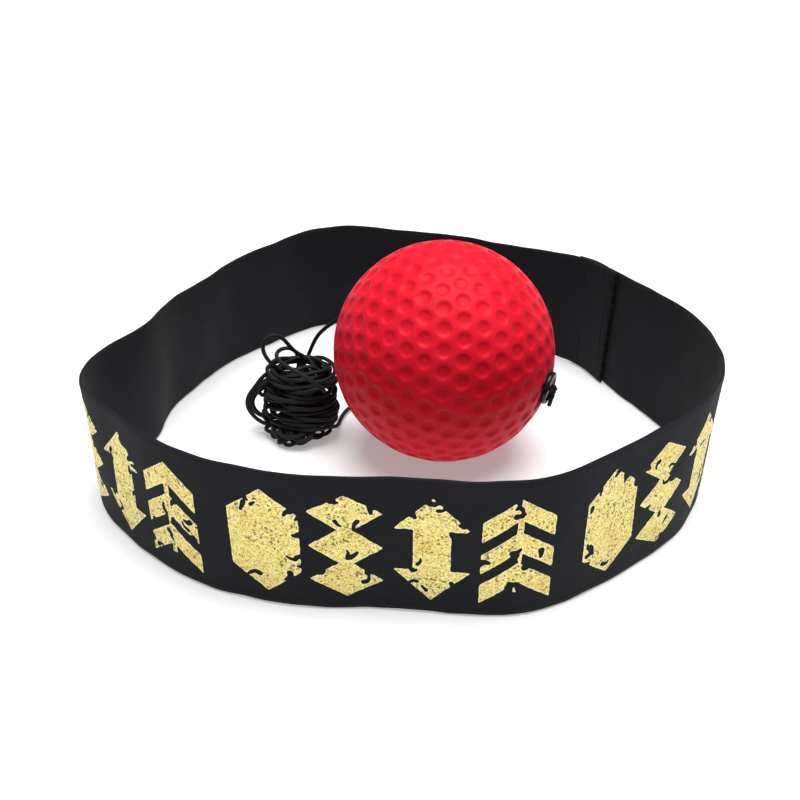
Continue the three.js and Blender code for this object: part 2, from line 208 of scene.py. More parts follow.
CORD_ROUTE = [
    (3581, 6646, 1914), (3477, 6453, 1897), (3374, 6262, 1862), (3278, 6081, 1784), (3205, 5924, 1648), (3113, 5790, 1500),
    (2992, 5684, 1350), (2863, 5590, 1199), (2734, 5494, 1049), (2614, 5384, 900), (2506, 5266, 749), (2402, 5143, 600),
    (2287, 5016, 461), (2153, 4887, 344), (2002, 4758, 250), (1841, 4629, 174), (1671, 4501, 118), (1493, 4376, 82),
    (1308, 4258, 73), (1120, 4143, 78), (933, 4027, 85), (748, 3908, 84), (564, 3787, 84), (380, 3667, 84),
    (197, 3544, 85), (16, 3419, 85), (-166, 3295, 85), (-346, 3169, 85), (-524, 3039, 85), (-698, 2904, 85),
    (-866, 2762, 85), (-1030, 2615, 85), (-1189, 2463, 85), (-1341, 2304, 85), (-1486, 2138, 86), (-1622, 1966, 87),
    (-1746, 1784, 89), (-1851, 1591, 92), (-1932, 1386, 95), (-1990, 1174, 100), (-2029, 958, 108), (-2057, 740, 123),
    (-2089, 525, 155), (-2145, 320, 212), (-2232, 139, 301), (-2341, -13, 417), (-2463, -146, 544), (-2626, -262, 632),
    (-2831, -315, 597), (-2979, -275, 446), (-2974, -166, 259), (-2843, -51, 129), (-2646, 26, 74), (-2447, 119, 62),
    (-2319, 292, 83), (-2346, 495, 150), (-2503, 610, 244), (-2698, 568, 327), (-2852, 430, 400), (-2969, 270, 496),
    (-2970, 95, 623), (-2860, 14, 791), (-2763, 95, 961), (-2822, 241, 1111), (-2936, 356, 1260), (-3034, 540, 1321),
    (-3115, 716, 1228), (-3196, 754, 1030), (-3259, 711, 824), (-3355, 653, 636), (-3488, 558, 490), (-3644, 445, 384),
    (-3807, 326, 295), (-3953, 183, 214), (-4026, -13, 154), (-3962, -218, 156), (-3781, -320, 216), (-3569, -317, 274),
    (-3361, -268, 327), (-3226, -150, 450), (-3149, 18, 567), (-3123, 224, 639), (-3144, 424, 727), (-3217, 569, 874),
    (-3283, 675, 1055), (-3286, 716, 1267), (-3236, 577, 1426), (-3171, 377, 1483), (-3123, 168, 1441), (-3094, 7, 1299),
    (-3086, 7, 1081), (-3131, -5, 870), (-3273, -100, 733), (-3426, -219, 629), (-3523, -341, 477), (-3482, -438, 287),
    (-3332, -518, 152), (-3121, -561, 129), (-2932, -517, 225), (-2848, -366, 355), (-2896, -187, 467), (-3026, -114, 625),
    (-3077, -172, 829), (-3049, -224, 1039), (-3002, -134, 1230), (-2965, 48, 1344), (-2881, 247, 1350), (-2787, 415, 1245),
    (-2728, 544, 1083), (-2774, 562, 870), (-2849, 538, 665), (-2919, 520, 457), (-3042, 468, 284), (-3207, 365, 184),
    (-3377, 235, 134), (-3543, 94, 101), (-3693, -65, 74), (-3794, -258, 63), (-3772, -469, 105), (-3627, -590, 207),
    (-3441, -558, 311), (-3291, -401, 331), (-3159, -226, 315), (-3028, -49, 307), (-2877, 111, 315), (-2771, 289, 382),
    (-2739, 471, 500), (-2773, 635, 641), (-2872, 736, 808), (-3023, 738, 963), (-3158, 581, 1029), (-3267, 392, 1057),
    (-3418, 241, 1009), (-3486, 120, 848), (-3439, 99, 636), (-3377, 155, 434), (-3429, 267, 257), (-3598, 384, 185),
    (-3806, 452, 180), (-4023, 438, 199), (-4191, 304, 225), (-4217, 91, 248), (-4093, -86, 264), (-3897, -183, 284),
    (-3691, -213, 351), (-3543, -172, 502), (-3510, -79, 698), (-3522, 15, 896), (-3495, 124, 1084), (-3355, 213, 1223),
    (-3144, 239, 1272), (-2928, 210, 1249), (-2734, 152, 1166), (-2642, 110, 980), (-2701, 28, 787), (-2855, -89, 688),
    (-2997, -255, 661), (-3129, -410, 583), (-3201, -477, 392), (-3169, -426, 184), (-3008, -326, 82), (-2838, -206, 138),
    (-2772, -84, 306), (-2784, 26, 495), (-2826, 115, 692), (-2873, 127, 903), (-2865, 67, 1114), (-2824, 99, 1324),
    (-2784, 255, 1470), (-2790, 469, 1499), (-2855, 634, 1374), (-2969, 732, 1213), (-3083, 838, 1058), (-3239, 861, 910),
    (-3385, 760, 781), (-3490, 612, 659), (-3565, 432, 556), (-3619, 242, 459), (-3648, 54, 349), (-3664, -129, 227),
    (-3655, -319, 117), (-3587, -522, 80), (-3433, -663, 134), (-3235, -652, 221), (-3085, -501, 255), (-3065, -289, 211),
    (-3098, -75, 179), (-3124, 140, 213), (-3126, 335, 314), (-3070, 501, 445), (-2986, 589, 625), (-3044, 544, 827),
    (-3139, 409, 968), (-3205, 211, 1034), (-3284, 8, 1057), (-3311, -164, 934), (-3262, -251, 739), (-3178, -301, 542),
    (-3054, -341, 366), (-2878, -333, 235), (-2677, -283, 166), (-2525, -129, 158), (-2522, 84, 186), (-2662, 246, 220),
    (-2865, 301, 280), (-3056, 257, 377), (-3209, 157, 498), (-3320, 54, 658), (-3398, 25, 859), (-3369, 125, 1047),
    (-3241, 275, 1139), (-3066, 367, 1065), (-2901, 396, 923), (-2792, 381, 735), (-2806, 291, 539), (-2932, 177, 402),
    (-3115, 87, 321), (-3298, -28, 343), (-3395, -196, 440), (-3407, -413, 468), (-3371, -620, 412), (-3216, -748, 333),
    (-3001, -741, 331), (-2830, -631, 409), (-2707, -497, 533), (-2590, -372, 673), (-2498, -187, 736), (-2450, 27, 748),
    (-2459, 228, 827), (-2530, 343, 998), (-2621, 393, 1192), (-2751, 414, 1365), (-2959, 419, 1431), (-3159, 463, 1358),
    (-3310, 482, 1202), (-3374, 439, 1000), (-3355, 334, 806), (-3331, 303, 592), (-3424, 306, 399), (-3619, 251, 321),
    (-3803, 134, 339), (-3937, -32, 387), (-3970, -246, 398), (-3864, -424, 339), (-3674, -464, 244), (-3509, -350, 166),
    (-3441, -148, 199), (-3470, 39, 311), (-3495, 208, 448), (-3444, 370, 586), (-3307, 427, 741), (-3183, 317, 880),
    (-3059, 159, 971), (-2927, -12, 994), (-2816, -145, 866), (-2782, -171, 656), (-2861, -70, 480), (-3053, 12, 427),
    (-3271, 31, 449), (-3486, -7, 469), (-3675, -116, 480), (-3759, -316, 471), (-3728, -532, 458), (-3593, -703, 454),
    (-3387, -772, 461), (-3174, -724, 464), (-2994, -599, 461), (-2845, -437, 470), (-2725, -258, 511), (-2633, -112, 643),
    (-2569, -27, 835), (-2529, 70, 1028), (-2494, 233, 1170), (-2522, 433, 1250), (-2677, 583, 1251), (-2889, 603, 1208),
    (-3093, 523, 1191), (-3245, 373, 1223), (-3401, 337, 1370), (-3524, 371, 1548), (-3622, 403, 1743), (-3740, 391, 1927),
    (-3919, 342, 2039), (-4125, 287, 2000), (-4288, 244, 1860), (-4424, 217, 1689), (-4557, 202, 1514), (-4676, 197, 1329),
    (-4742, 199, 1120), (-4721, 202, 902), (-4626, 205, 705), (-4484, 202, 537), (-4301, 183, 418), (-4087, 148, 398),
    (-3895, 96, 489), (-3757, 25, 644), (-3650, -50, 821), (-3526, -112, 991), (-3371, -154, 1141), (-3195, -183, 1270),
    (-2996, -170, 1360), (-2805, -68, 1371), (-2697, 110, 1309), (-2715, 290, 1188), (-2817, 453, 1085), (-2965, 611, 1084),
    (-3163, 623, 1168), (-3327, 570, 1305), (-3489, 503, 1439), (-3674, 445, 1542), (-3881, 397, 1593), (-4096, 373, 1564),
    (-4292, 377, 1464), (-4457, 387, 1319), (-4573, 395, 1134), (-4606, 404, 918), (-4535, 414, 711), (-4382, 423, 555),
    (-4179, 418, 474), (-3964, 381, 480), (-3766, 314, 549), (-3578, 244, 638), (-3379, 196, 719), (-3175, 253, 771),
    (-3019, 394, 833), (-2904, 563, 912), (-2839, 716, 1053), (-2859, 805, 1250), (-2977, 732, 1413), (-3112, 600, 1526),
    (-3260, 456, 1601), (-3427, 317, 1625), (-3619, 216, 1591), (-3815, 147, 1519), (-3994, 93, 1403), (-4133, 45, 1240),
    (-4201, 8, 1037), (-4146, 9, 826), (-4005, 65, 670), (-3827, 185, 643), (-3692, 294, 771), (-3652, 300, 983),
    (-3611, 187, 1162), (-3449, 64, 1234), (-3237, 52, 1192), (-3082, 174, 1101), (-2947, 345, 1110), (-2888, 491, 1255),
    (-2948, 539, 1458), (-3076, 497, 1630), (-3254, 425, 1735), (-3451, 347, 1796), (-3656, 274, 1826), (-3868, 216, 1829),
    (-4081, 170, 1795), (-4268, 148, 1686), (-4358, 179, 1492), (-4299, 274, 1309), (-4134, 396, 1234), (-3939, 493, 1211),
    (-3749, 499, 1105), (-3592, 412, 979), (-3443, 280, 886), (-3307, 112, 890), (-3197, -61, 967), (-3007, -104, 1058),
    (-2808, -51, 1133), (-2635, 61, 1209), (-2563, 244, 1298), (-2602, 443, 1381), (-2701, 625, 1453), (-2873, 749, 1509),
    (-3086, 787, 1517), (-3291, 731, 1462), (-3468, 636, 1374), (-3619, 514, 1271), (-3767, 392, 1163), (-3930, 298, 1048),
    (-4119, 237, 954), (-4270, 208, 801), (-4275, 229, 587), (-4148, 292, 422), (-3971, 386, 334), (-3781, 495, 309),
    (-3588, 597, 329), (-3395, 685, 387), (-3211, 744, 490), (-3065, 747, 652), (-3010, 665, 847), (-3011, 530, 1020),
    (-3048, 401, 1194), (-3188, 339, 1348), (-3351, 396, 1481), (-3494, 516, 1599), (-3655, 639, 1682), (-3853, 732, 1697),
    (-4061, 771, 1641), (-4251, 762, 1532), (-4419, 732, 1393), (-4571, 708, 1235), (-4692, 696, 1052), (-4738, 694, 839),
    (-4681, 696, 628), (-4542, 702, 458), (-4354, 711, 346), (-4139, 722, 308), (-3926, 728, 360), (-3753, 721, 494),
    (-3639, 690, 679), (-3578, 625, 879), (-3549, 516, 1067), (-3523, 364, 1224), (-3425, 202, 1330), (-3229, 118, 1315),
    (-3036, 124, 1210), (-2916, 193, 1046), (-2910, 286, 848), (-2998, 423, 705), (-3131, 589, 656), (-3226, 784, 688),
    (-3307, 941, 815), (-3383, 1002, 1011), (-3440, 1000, 1223), (-3473, 963, 1437), (-3476, 900, 1648), (-3426, 796, 1833),
    (-3319, 652, 1959), (-3177, 493, 2010), (-3024, 338, 1981), (-2880, 205, 1884), (-2746, 107, 1740), (-2616, 54, 1571),
    (-2492, 46, 1390), (-2401, 65, 1191), (-2421, 102, 979), (-2572, 153, 829), (-2754, 218, 725), (-2935, 301, 631),
    (-3110, 423, 584), (-3283, 535, 655), (-3466, 545, 774), (-3656, 482, 864), (-3774, 339, 975), (-3766, 189, 1133),
    (-3710, 97, 1325), (-3645, 60, 1531), (-3562, 68, 1734), (-3452, 111, 1920), (-3309, 182, 2070), (-3133, 273, 2164),
    (-2939, 374, 2182), (-2754, 471, 2117), (-2604, 554, 1980), (-2507, 619, 1794), (-2469, 669, 1584), (-2487, 716, 1370),
    (-2555, 766, 1167), (-2670, 822, 989), (-2824, 881, 844), (-3009, 934, 738), (-3215, 968, 669), (-3431, 963, 631),
    (-3643, 907, 615), (-3832, 795, 608), (-3977, 631, 602), (-4061, 429, 589), (-4074, 211, 567), (-4007, 3, 560),
    (-3874, -170, 582), (-3703, -307, 600), (-3512, -416, 605), (-3309, -502, 605), (-3100, -568, 608), (-2883, -607, 614),
    (-2665, -589, 614), (-2480, -477, 581), (-2348, -307, 537), (-2257, -111, 497), (-2207, 100, 461), (-2202, 318, 432),
    (-2240, 533, 415), (-2322, 737, 416), (-2444, 919, 437), (-2600, 1068, 477), (-2785, 1175, 527), (-2990, 1235, 579),
    (-3204, 1245, 627), (-3416, 1203, 667), (-3612, 1109, 698), (-3777, 966, 720), (-3898, 784, 738), (-3966, 575, 753),
    (-3977, 356, 761), (-3935, 140, 762), (-3845, -60, 757), (-3716, -237, 748), (-3553, -385, 739), (-3363, -495, 734),
    (-3154, -563, 736), (-2935, -581, 740), (-2717, -549, 735), (-2517, -464, 712), (-2349, -328, 672), (-2221, -156, 624),
    (-2141, 43, 577), (-2113, 258, 539), (-2139, 475, 518), (-2216, 681, 517), (-2336, 863, 538), (-2491, 1013, 578),
    (-2674, 1125, 627), (-2876, 1195, 679), (-3088, 1219, 729), (-3303, 1197, 774), (-3508, 1129, 810), (-3695, 1017, 838),
    (-3854, 866, 860), (-3971, 681, 870), (-4036, 472, 867), (-4043, 252, 860), (-3993, 39, 858), (-3886, -153, 861),
    (-3730, -308, 863), (-3539, -417, 863), (-3329, -480, 857), (-3111, -505, 847), (-2891, -496, 841), (-2676, -450, 831),
    (-2481, -353, 807), (-2337, -195, 758), (-2245, -3, 705), (-2190, 206, 666), (-2173, 424, 646), (-2199, 642, 643),
    (-2273, 849, 653), (-2394, 1032, 671), (-2556, 1178, 695), (-2748, 1280, 728), (-2957, 1334, 769), (-3171, 1338, 816),
    (-3381, 1292, 864), (-3573, 1196, 911), (-3736, 1055, 951), (-3862, 878, 985), (-3946, 679, 1027), (-3980, 473, 1095),
    (-3951, 274, 1181), (-3848, 82, 1174), (-3710, -79, 1113), (-3562, -225, 1042), (-3396, -361, 991), (-3210, -476, 972),
    (-3005, -552, 957), (-2788, -572, 928), (-2575, -532, 891), (-2387, -427, 849), (-2242, -268, 808), (-2150, -71, 777),
    (-2105, 143, 761), (-2103, 363, 756), (-2141, 579, 760), (-2220, 784, 773), (-2343, 965, 790), (-2505, 1112, 812),
    (-2698, 1213, 840), (-2909, 1262, 873), (-3126, 1258, 911), (-3335, 1207, 954), (-3529, 1117, 1007), (-3703, 1002, 1074),
    (-3857, 868, 1158), (-3981, 716, 1256), (-4038, 520, 1335), (-4017, 303, 1336), (-3935, 104, 1291), (-3810, -71, 1247),
    (-3641, -207, 1214), (-3448, -304, 1175), (-3243, -367, 1124), (-3036, -406, 1063), (-2824, -417, 1004), (-2611, -390, 959),
    (-2409, -309, 931), (-2238, -171, 917), (-2118, 12, 902), (-2060, 223, 889), (-2066, 442, 885), (-2131, 652, 893),
    (-2244, 839, 911), (-2393, 998, 938), (-2570, 1125, 969), (-2767, 1218, 1000), (-2977, 1276, 1028), (-3195, 1296, 1049),
    (-3413, 1274, 1060), (-3622, 1206, 1063), (-3808, 1089, 1060), (-3956, 927, 1061), (-4056, 731, 1069), (-4102, 518, 1089),
    (-4084, 301, 1115), (-4001, 98, 1131), (-3876, -83, 1127), (-3721, -237, 1110), (-3542, -364, 1094), (-3345, -461, 1088),
    (-3132, -516, 1094), (-2913, -520, 1100), (-2700, -466, 1095), (-2509, -358, 1074), (-2352, -209, 1041), (-2237, -26, 1004),
    (-2175, 184, 981), (-2173, 403, 979), (-2228, 615, 997), (-2335, 805, 1025), (-2487, 961, 1057), (-2671, 1076, 1086),
    (-2877, 1148, 1111), (-3094, 1181, 1132), (-3313, 1178, 1151), (-3529, 1144, 1168), (-3738, 1077, 1181), (-3931, 971, 1189),
    (-4089, 819, 1180), (-4195, 629, 1148), (-4228, 418, 1101), (-4178, 209, 1062), (-4072, 16, 1056), (-3956, -168, 1086),
    (-3810, -323, 1138), (-3621, -424, 1187), (-3408, -467, 1214), (-3188, -463, 1215), (-2972, -424, 1198), (-2766, -354, 1173),
    (-2573, -251, 1145), (-2402, -114, 1122), (-2271, 61, 1108), (-2193, 266, 1104), (-2169, 484, 1109), (-2199, 702, 1121),
    (-2284, 903, 1139), (-2418, 1077, 1158), (-2588, 1213, 1179), (-2784, 1311, 1199), (-2995, 1368, 1219), (-3214, 1382, 1240),
    (-3429, 1343, 1261), (-3623, 1243, 1281), (-3772, 1083, 1300), (-3858, 882, 1323), (-3891, 666, 1341), (-3895, 446, 1353),
    (-3868, 228, 1364), (-3810, 16, 1370), (-3723, -185, 1354), (-3597, -364, 1333), (-3428, -504, 1328), (-3222, -577, 1310),
    (-3005, -583, 1281), (-2793, -532, 1251), (-2598, -434, 1227), (-2425, -299, 1212), (-2284, -130, 1207), (-2185, 65, 1210),
    (-2139, 280, 1219), (-2152, 499, 1232), (-2224, 706, 1244), (-2348, 887, 1250), (-2514, 1031, 1248), (-2708, 1133, 1242),
    (-2920, 1195, 1240), (-3137, 1220, 1255), (-3352, 1213, 1299), (-3556, 1167, 1367), (-3747, 1074, 1423), (-3918, 937, 1430),
    (-4050, 761, 1420), (-4140, 561, 1406), (-4189, 347, 1396), (-4190, 128, 1398), (-4115, -78, 1396), (-3964, -236, 1408),
    (-3773, -340, 1440), (-3562, -399, 1457), (-3345, -425, 1438), (-3128, -422, 1399), (-2915, -390, 1356), (-2707, -326, 1323),
    (-2512, -226, 1306), (-2344, -85, 1310), (-2217, 93, 1329), (-2142, 299, 1346), (-2123, 517, 1354), (-2163, 733, 1354),
    (-2258, 931, 1347), (-2404, 1095, 1335), (-2588, 1213, 1325), (-2798, 1278, 1324), (-3017, 1288, 1344), (-3227, 1247, 1394),
    (-3421, 1156, 1443), (-3592, 1022, 1467), (-3739, 858, 1473), (-3871, 682, 1473), (-3978, 490, 1465), (-4052, 283, 1466),
    (-4079, 66, 1487), (-4030, -145, 1519), (-3901, -320, 1544), (-3719, -443, 1549), (-3511, -511, 1535), (-3294, -530, 1510),
    (-3077, -506, 1482), (-2868, -441, 1458), (-2676, -336, 1440), (-2510, -193, 1427), (-2379, -17, 1418), (-2298, 187, 1411),
    (-2275, 406, 1407), (-2310, 622, 1408), (-2398, 824, 1415), (-2529, 999, 1426), (-2692, 1146, 1440), (-2879, 1261, 1454),
    (-3085, 1336, 1465), (-3303, 1360, 1479), (-3518, 1332, 1514), (-3718, 1259, 1569), (-3896, 1146, 1632), (-4039, 992, 1693),
    (-4128, 796, 1738), (-4137, 578, 1742), (-4086, 366, 1712), (-3995, 168, 1680), (-3880, -19, 1673), (-3743, -191, 1667),
    (-3578, -335, 1653), (-3384, -436, 1633), (-3170, -483, 1613), (-2952, -471, 1592), (-2743, -406, 1569), (-2555, -295, 1547),
    (-2400, -140, 1533), (-2292, 51, 1529), (-2237, 264, 1528), (-2234, 484, 1528), (-2278, 699, 1527), (-2367, 900, 1528),
    (-2497, 1076, 1532), (-2667, 1216, 1546), (-2867, 1303, 1569), (-3083, 1332, 1587), (-3300, 1298, 1584), (-3499, 1206, 1571),
    (-3675, 1074, 1555), (-3831, 920, 1539), (-3979, 758, 1535), (-4121, 596, 1580), (-4202, 402, 1638), (-4153, 191, 1639),
    (-4023, 18, 1603), (-3862, -124, 1556), (-3670, -229, 1538), (-3463, -301, 1557), (-3254, -347, 1606), (-3044, -367, 1668),
    (-2832, -347, 1726), (-2629, -275, 1768), (-2448, -152, 1786), (-2295, 3, 1761), (-2177, 183, 1717), (-2110, 389, 1682),
    (-2111, 607, 1663), (-2188, 812, 1658), (-2332, 978, 1661), (-2520, 1091, 1661), (-2729, 1158, 1649), (-2946, 1191, 1634),
    (-3165, 1205, 1643), (-3381, 1208, 1686), (-3595, 1189, 1733), (-3795, 1110, 1772), (-3947, 955, 1792), (-4016, 747, 1784),
    (-4001, 531, 1751), (-3931, 326, 1716), (-3829, 131, 1702), (-3707, -51, 1710), (-3566, -219, 1729), (-3400, -363, 1748),
    (-3208, -467, 1768), (-2995, -511, 1799), (-2780, -487, 1834), (-2581, -401, 1865), (-2411, -262, 1884), (-2282, -85, 1884),
    (-2201, 117, 1858), (-2176, 330, 1810), (-2206, 543, 1767), (-2292, 745, 1750), (-2420, 923, 1762), (-2576, 1073, 1798),
    (-2755, 1193, 1845), (-2952, 1282, 1883), (-3164, 1340, 1895), (-3382, 1336, 1888), (-3585, 1252, 1889), (-3755, 1114, 1895),
    (-3888, 938, 1900), (-3982, 740, 1901), (-4032, 526, 1903), (-4035, 307, 1916), (-3992, 92, 1934), (-3903, -108, 1923),
    (-3759, -273, 1905), (-3570, -383, 1895), (-3356, -433, 1894), (-3137, -428, 1892), (-2923, -376, 1887), (-2725, -282, 1884),
    (-2548, -151, 1886), (-2404, 14, 1876), (-2313, 214, 1867), (-2280, 431, 1867), (-2297, 650, 1874), (-2361, 860, 1884),
    (-2472, 1048, 1902), (-2625, 1205, 1929), (-2809, 1320, 1960), (-3016, 1386, 1988), (-3235, 1393, 2009), (-3445, 1333, 2020),
    (-3634, 1220, 2029), (-3798, 1074, 2042), (-3935, 903, 2063), (-4040, 712, 2090), (-4102, 503, 2116), (-4101, 284, 2129),
    (-4025, 80, 2106), (-3889, -85, 2057), (-3713, -202, 1997), (-3516, -274, 1934), (-3305, -300, 1879), (-3089, -279, 1846),
    (-2880, -210, 1842), (-2693, -99, 1872), (-2532, 43, 1921), (-2393, 208, 1964), (-2295, 402, 1991), (-2269, 619, 2001),
    (-2337, 827, 2005), (-2491, 981, 2010), (-2695, 1064, 2020), (-2911, 1101, 2037), (-3129, 1126, 2056), (-3347, 1139, 2079),
    (-3562, 1111, 2112), (-3756, 1015, 2150), (-3903, 855, 2179), (-3984, 652, 2192), (-4000, 433, 2187), (-3956, 219, 2170),
    (-3858, 23, 2148), (-3716, -143, 2126), (-3537, -268, 2108), (-3330, -340, 2100), (-3111, -349, 2102), (-2898, -294, 2108),
    (-2709, -183, 2108), (-2554, -28, 2099), (-2450, 165, 2097), (-2413, 381, 2110), (-2450, 596, 2133), (-2554, 787, 2159),
    (-2713, 937, 2181), (-2912, 1028, 2190), (-3129, 1058, 2179), (-3345, 1035, 2142), (-3545, 974, 2076), (-3719, 865, 1999),
    (-3848, 701, 1932), (-3913, 494, 1902), (-3899, 278, 1927), (-3807, 88, 1987), (-3652, -54, 2051), (-3462, -145, 2111),
    (-3253, -190, 2161), (-3036, -193, 2199), (-2822, -153, 2224), (-2619, -69, 2231), (-2444, 63, 2218), (-2323, 242, 2185),
    (-2282, 454, 2145), (-2339, 661, 2108), (-2480, 822, 2061), (-2660, 909, 1975), (-2830, 878, 1843), (-2904, 721, 1715),
    (-2851, 522, 1647), (-2723, 345, 1627), (-2577, 180, 1621), (-2462, -7, 1635), (-2403, -211, 1687), (-2409, -397, 1802),
    (-2481, -535, 1956), (-2606, -616, 2117), (-2767, -639, 2264), (-2950, -613, 2383), (-3139, -546, 2473), (-3323, -443, 2535),
    (-3491, -307, 2573), (-3634, -141, 2595), (-3739, 52, 2605), (-3796, 264, 2605), (-3798, 483, 2595), (-3747, 696, 2574),
    (-3653, 891, 2536), (-3532, 1061, 2468), (-3405, 1195, 2350), (-3303, 1264, 2170), (-3263, 1238, 1958), (-3281, 1121, 1775),
    (-3329, 933, 1675), (-3399, 728, 1691), (-3488, 559, 1799), (-3593, 433, 1945), (-3726, 346, 2097), (-3876, 295, 2250),
    (-4020, 280, 2415), (-4135, 296, 2602), (-4190, 335, 2810), (-4142, 395, 3014), (-3980, 471, 3136), (-3777, 544, 3113),
    (-3615, 602, 2978), (-3495, 653, 2801), (-3382, 711, 2621), (-3248, 777, 2460), (-3081, 826, 2326), (-2902, 814, 2200),
    (-2784, 720, 2045), (-2818, 599, 1870), (-2987, 560, 1741), (-3181, 646, 1706), (-3281, 827, 1769), (-3241, 1023, 1852),
    (-3104, 1174, 1933), (-2915, 1231, 2025), (-2727, 1168, 2114), (-2572, 1027, 2181), (-2442, 855, 2226), (-2318, 675, 2246),
    (-2204, 487, 2243), (-2123, 284, 2217), (-2107, 69, 2177), (-2183, -130, 2127), (-2347, -264, 2076), (-2558, -294, 2029),
    (-2760, -222, 1991), (-2921, -77, 1952), (-3031, 109, 1912), (-3097, 315, 1877), (-3131, 531, 1847), (-3148, 747, 1810),
    (-3158, 963, 1769), (-3152, 1182, 1751), (-3104, 1390, 1795), (-3016, 1514, 1949), (-2930, 1536, 2150), (-2849, 1512, 2352),
    (-2760, 1466, 2549), (-2658, 1401, 2732), (-2544, 1316, 2901), (-2421, 1218, 3054), (-2290, 1115, 3198), (-2155, 1009, 3335),
    (-2020, 904, 3474), (-1875, 799, 3602), (-1682, 701, 3607),
]

cord_path = catmull(np.array(CORD_ROUTE, float) / 100.0, 0.55)
free_cord = tube("tether_cord", cord_path, CORD_D / 2, 10)
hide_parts("cord_lead_band", "cord_hank", "cord_lead_ball")
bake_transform(free_cord)


# ------------------------------------------------------------------ node materials

def linked(tree, kind, **inputs):
    n = tree.nodes.new(kind)
    for key, value in inputs.items():
        sock = n.inputs[int(key[1:])] if key[0] == "i" and key[1:].isdigit() else n.inputs[key.replace("_", " ")]
        if isinstance(value, bpy.types.NodeSocket):
            tree.links.new(value, sock)
        else:
            sock.default_value = value
    return n


def maths(tree, op, a, b=None, clamp=False):
    n = tree.nodes.new("ShaderNodeMath")
    n.operation = op
    n.use_clamp = clamp
    for i, v in enumerate((a, b)):
        if v is None:
            continue
        if isinstance(v, bpy.types.NodeSocket):
            tree.links.new(v, n.inputs[i])
        else:
            n.inputs[i].default_value = v
    return n.outputs[0]


def ramp(tree, fac, stops, mode="LINEAR"):
    n = tree.nodes.new("ShaderNodeValToRGB")
    n.color_ramp.interpolation = mode
    el = n.color_ramp.elements
    while len(el) < len(stops):
        el.new(0.5)
    for e, (pos, col) in zip(el, stops):
        e.position = pos
        e.color = (*col, 1.0) if len(col) == 3 else col
    tree.links.new(fac, n.inputs[0])
    return n.outputs["Color"]


def mix(tree, fac, a, b, mode="MIX"):
    n = tree.nodes.new("ShaderNodeMix")
    n.data_type = "RGBA"
    n.blend_type = mode
    n.clamp_factor = True
    for sock, v in ((n.inputs[0], fac), (n.inputs[6], a), (n.inputs[7], b)):
        if isinstance(v, bpy.types.NodeSocket):
            tree.links.new(v, sock)
        elif isinstance(v, (tuple, list)):
            sock.default_value = (*v, 1.0) if len(v) == 3 else v
        else:
            sock.default_value = v
    return n.outputs[2]


def bump(tree, height, strength, distance_mm, normal=None):
    n = tree.nodes.new("ShaderNodeBump")
    n.inputs["Strength"].default_value = strength
    n.inputs["Distance"].default_value = distance_mm * MM
    tree.links.new(height, n.inputs["Height"])
    if normal is not None:
        tree.links.new(normal, n.inputs["Normal"])
    return n.outputs["Normal"]


def material(name, **fixed):
    m = bpy.data.materials.new(name)
    m.use_nodes = True
    t = m.node_tree
    for n in list(t.nodes):
        t.nodes.remove(n)
    out = t.nodes.new("ShaderNodeOutputMaterial")
    p = t.nodes.new("ShaderNodeBsdfPrincipled")
    t.links.new(p.outputs[0], out.inputs[0])
    for key, value in fixed.items():
        p.inputs[key.replace("_", " ")].default_value = value
    return m, t, p


def place(tree):
    return tree.nodes.new("ShaderNodeTexCoord").outputs["Object"]


def uv_parts(tree):
    u = tree.nodes.new("ShaderNodeUVMap")
    u.uv_map = "weave"
    s = tree.nodes.new("ShaderNodeSeparateXYZ")
    tree.links.new(u.outputs[0], s.inputs[0])
    return u.outputs[0], s.outputs[0], s.outputs[1]


def noise_tex(tree, coord, scale, detail=3.0, rough=0.55):
    n = linked(tree, "ShaderNodeTexNoise", Vector=coord, Scale=scale, Detail=detail, Roughness=rough)
    return n.outputs["Fac"]


def webbing_material():
    m, t, p = material("webbing_black", Specular_IOR_Level=0.12, Sheen_Weight=0.03, Sheen_Roughness=0.5)
    uv, u, v = uv_parts(t)
    # lengthwise rubber-cored ribs crossed by the weft, half a step out of line on each rib
    warp = maths(t, "SINE", maths(t, "MULTIPLY", v, 2 * math.pi / 0.00079))
    shift = maths(t, "MULTIPLY", maths(t, "SIGN", warp), math.pi / 2)
    weft = maths(t, "SINE", maths(t, "ADD", maths(t, "MULTIPLY", u, 2 * math.pi / 0.00088), shift))
    weave = maths(t, "ADD", maths(t, "MULTIPLY", maths(t, "ABSOLUTE", warp), 0.55), maths(t, "MULTIPLY", weft, 0.22))
    fibre = noise_tex(t, place(t), 5200.0, 2.0)
    height = maths(t, "ADD", weave, maths(t, "MULTIPLY", fibre, 0.30))
    wear = noise_tex(t, place(t), 38.0, 4.0)
    shade = ramp(t, height, [(0.0, (0.0044, 0.0047, 0.0062)), (0.55, (0.0106, 0.0114, 0.0142)), (1.0, (0.0185, 0.0196, 0.0240))])
    worn = ramp(t, wear, [(0.35, (0.86, 0.87, 0.90)), (0.68, (1.12, 1.10, 1.08))])
    col = mix(t, 1.0, shade, worn, "MULTIPLY")
    t.links.new(col, p.inputs["Base Color"])
    rough = maths(t, "ADD", maths(t, "MULTIPLY", fibre, 0.16), 0.74)
    t.links.new(rough, p.inputs["Roughness"])
    t.links.new(bump(t, height, 0.55, 0.12), p.inputs["Normal"])
    return m


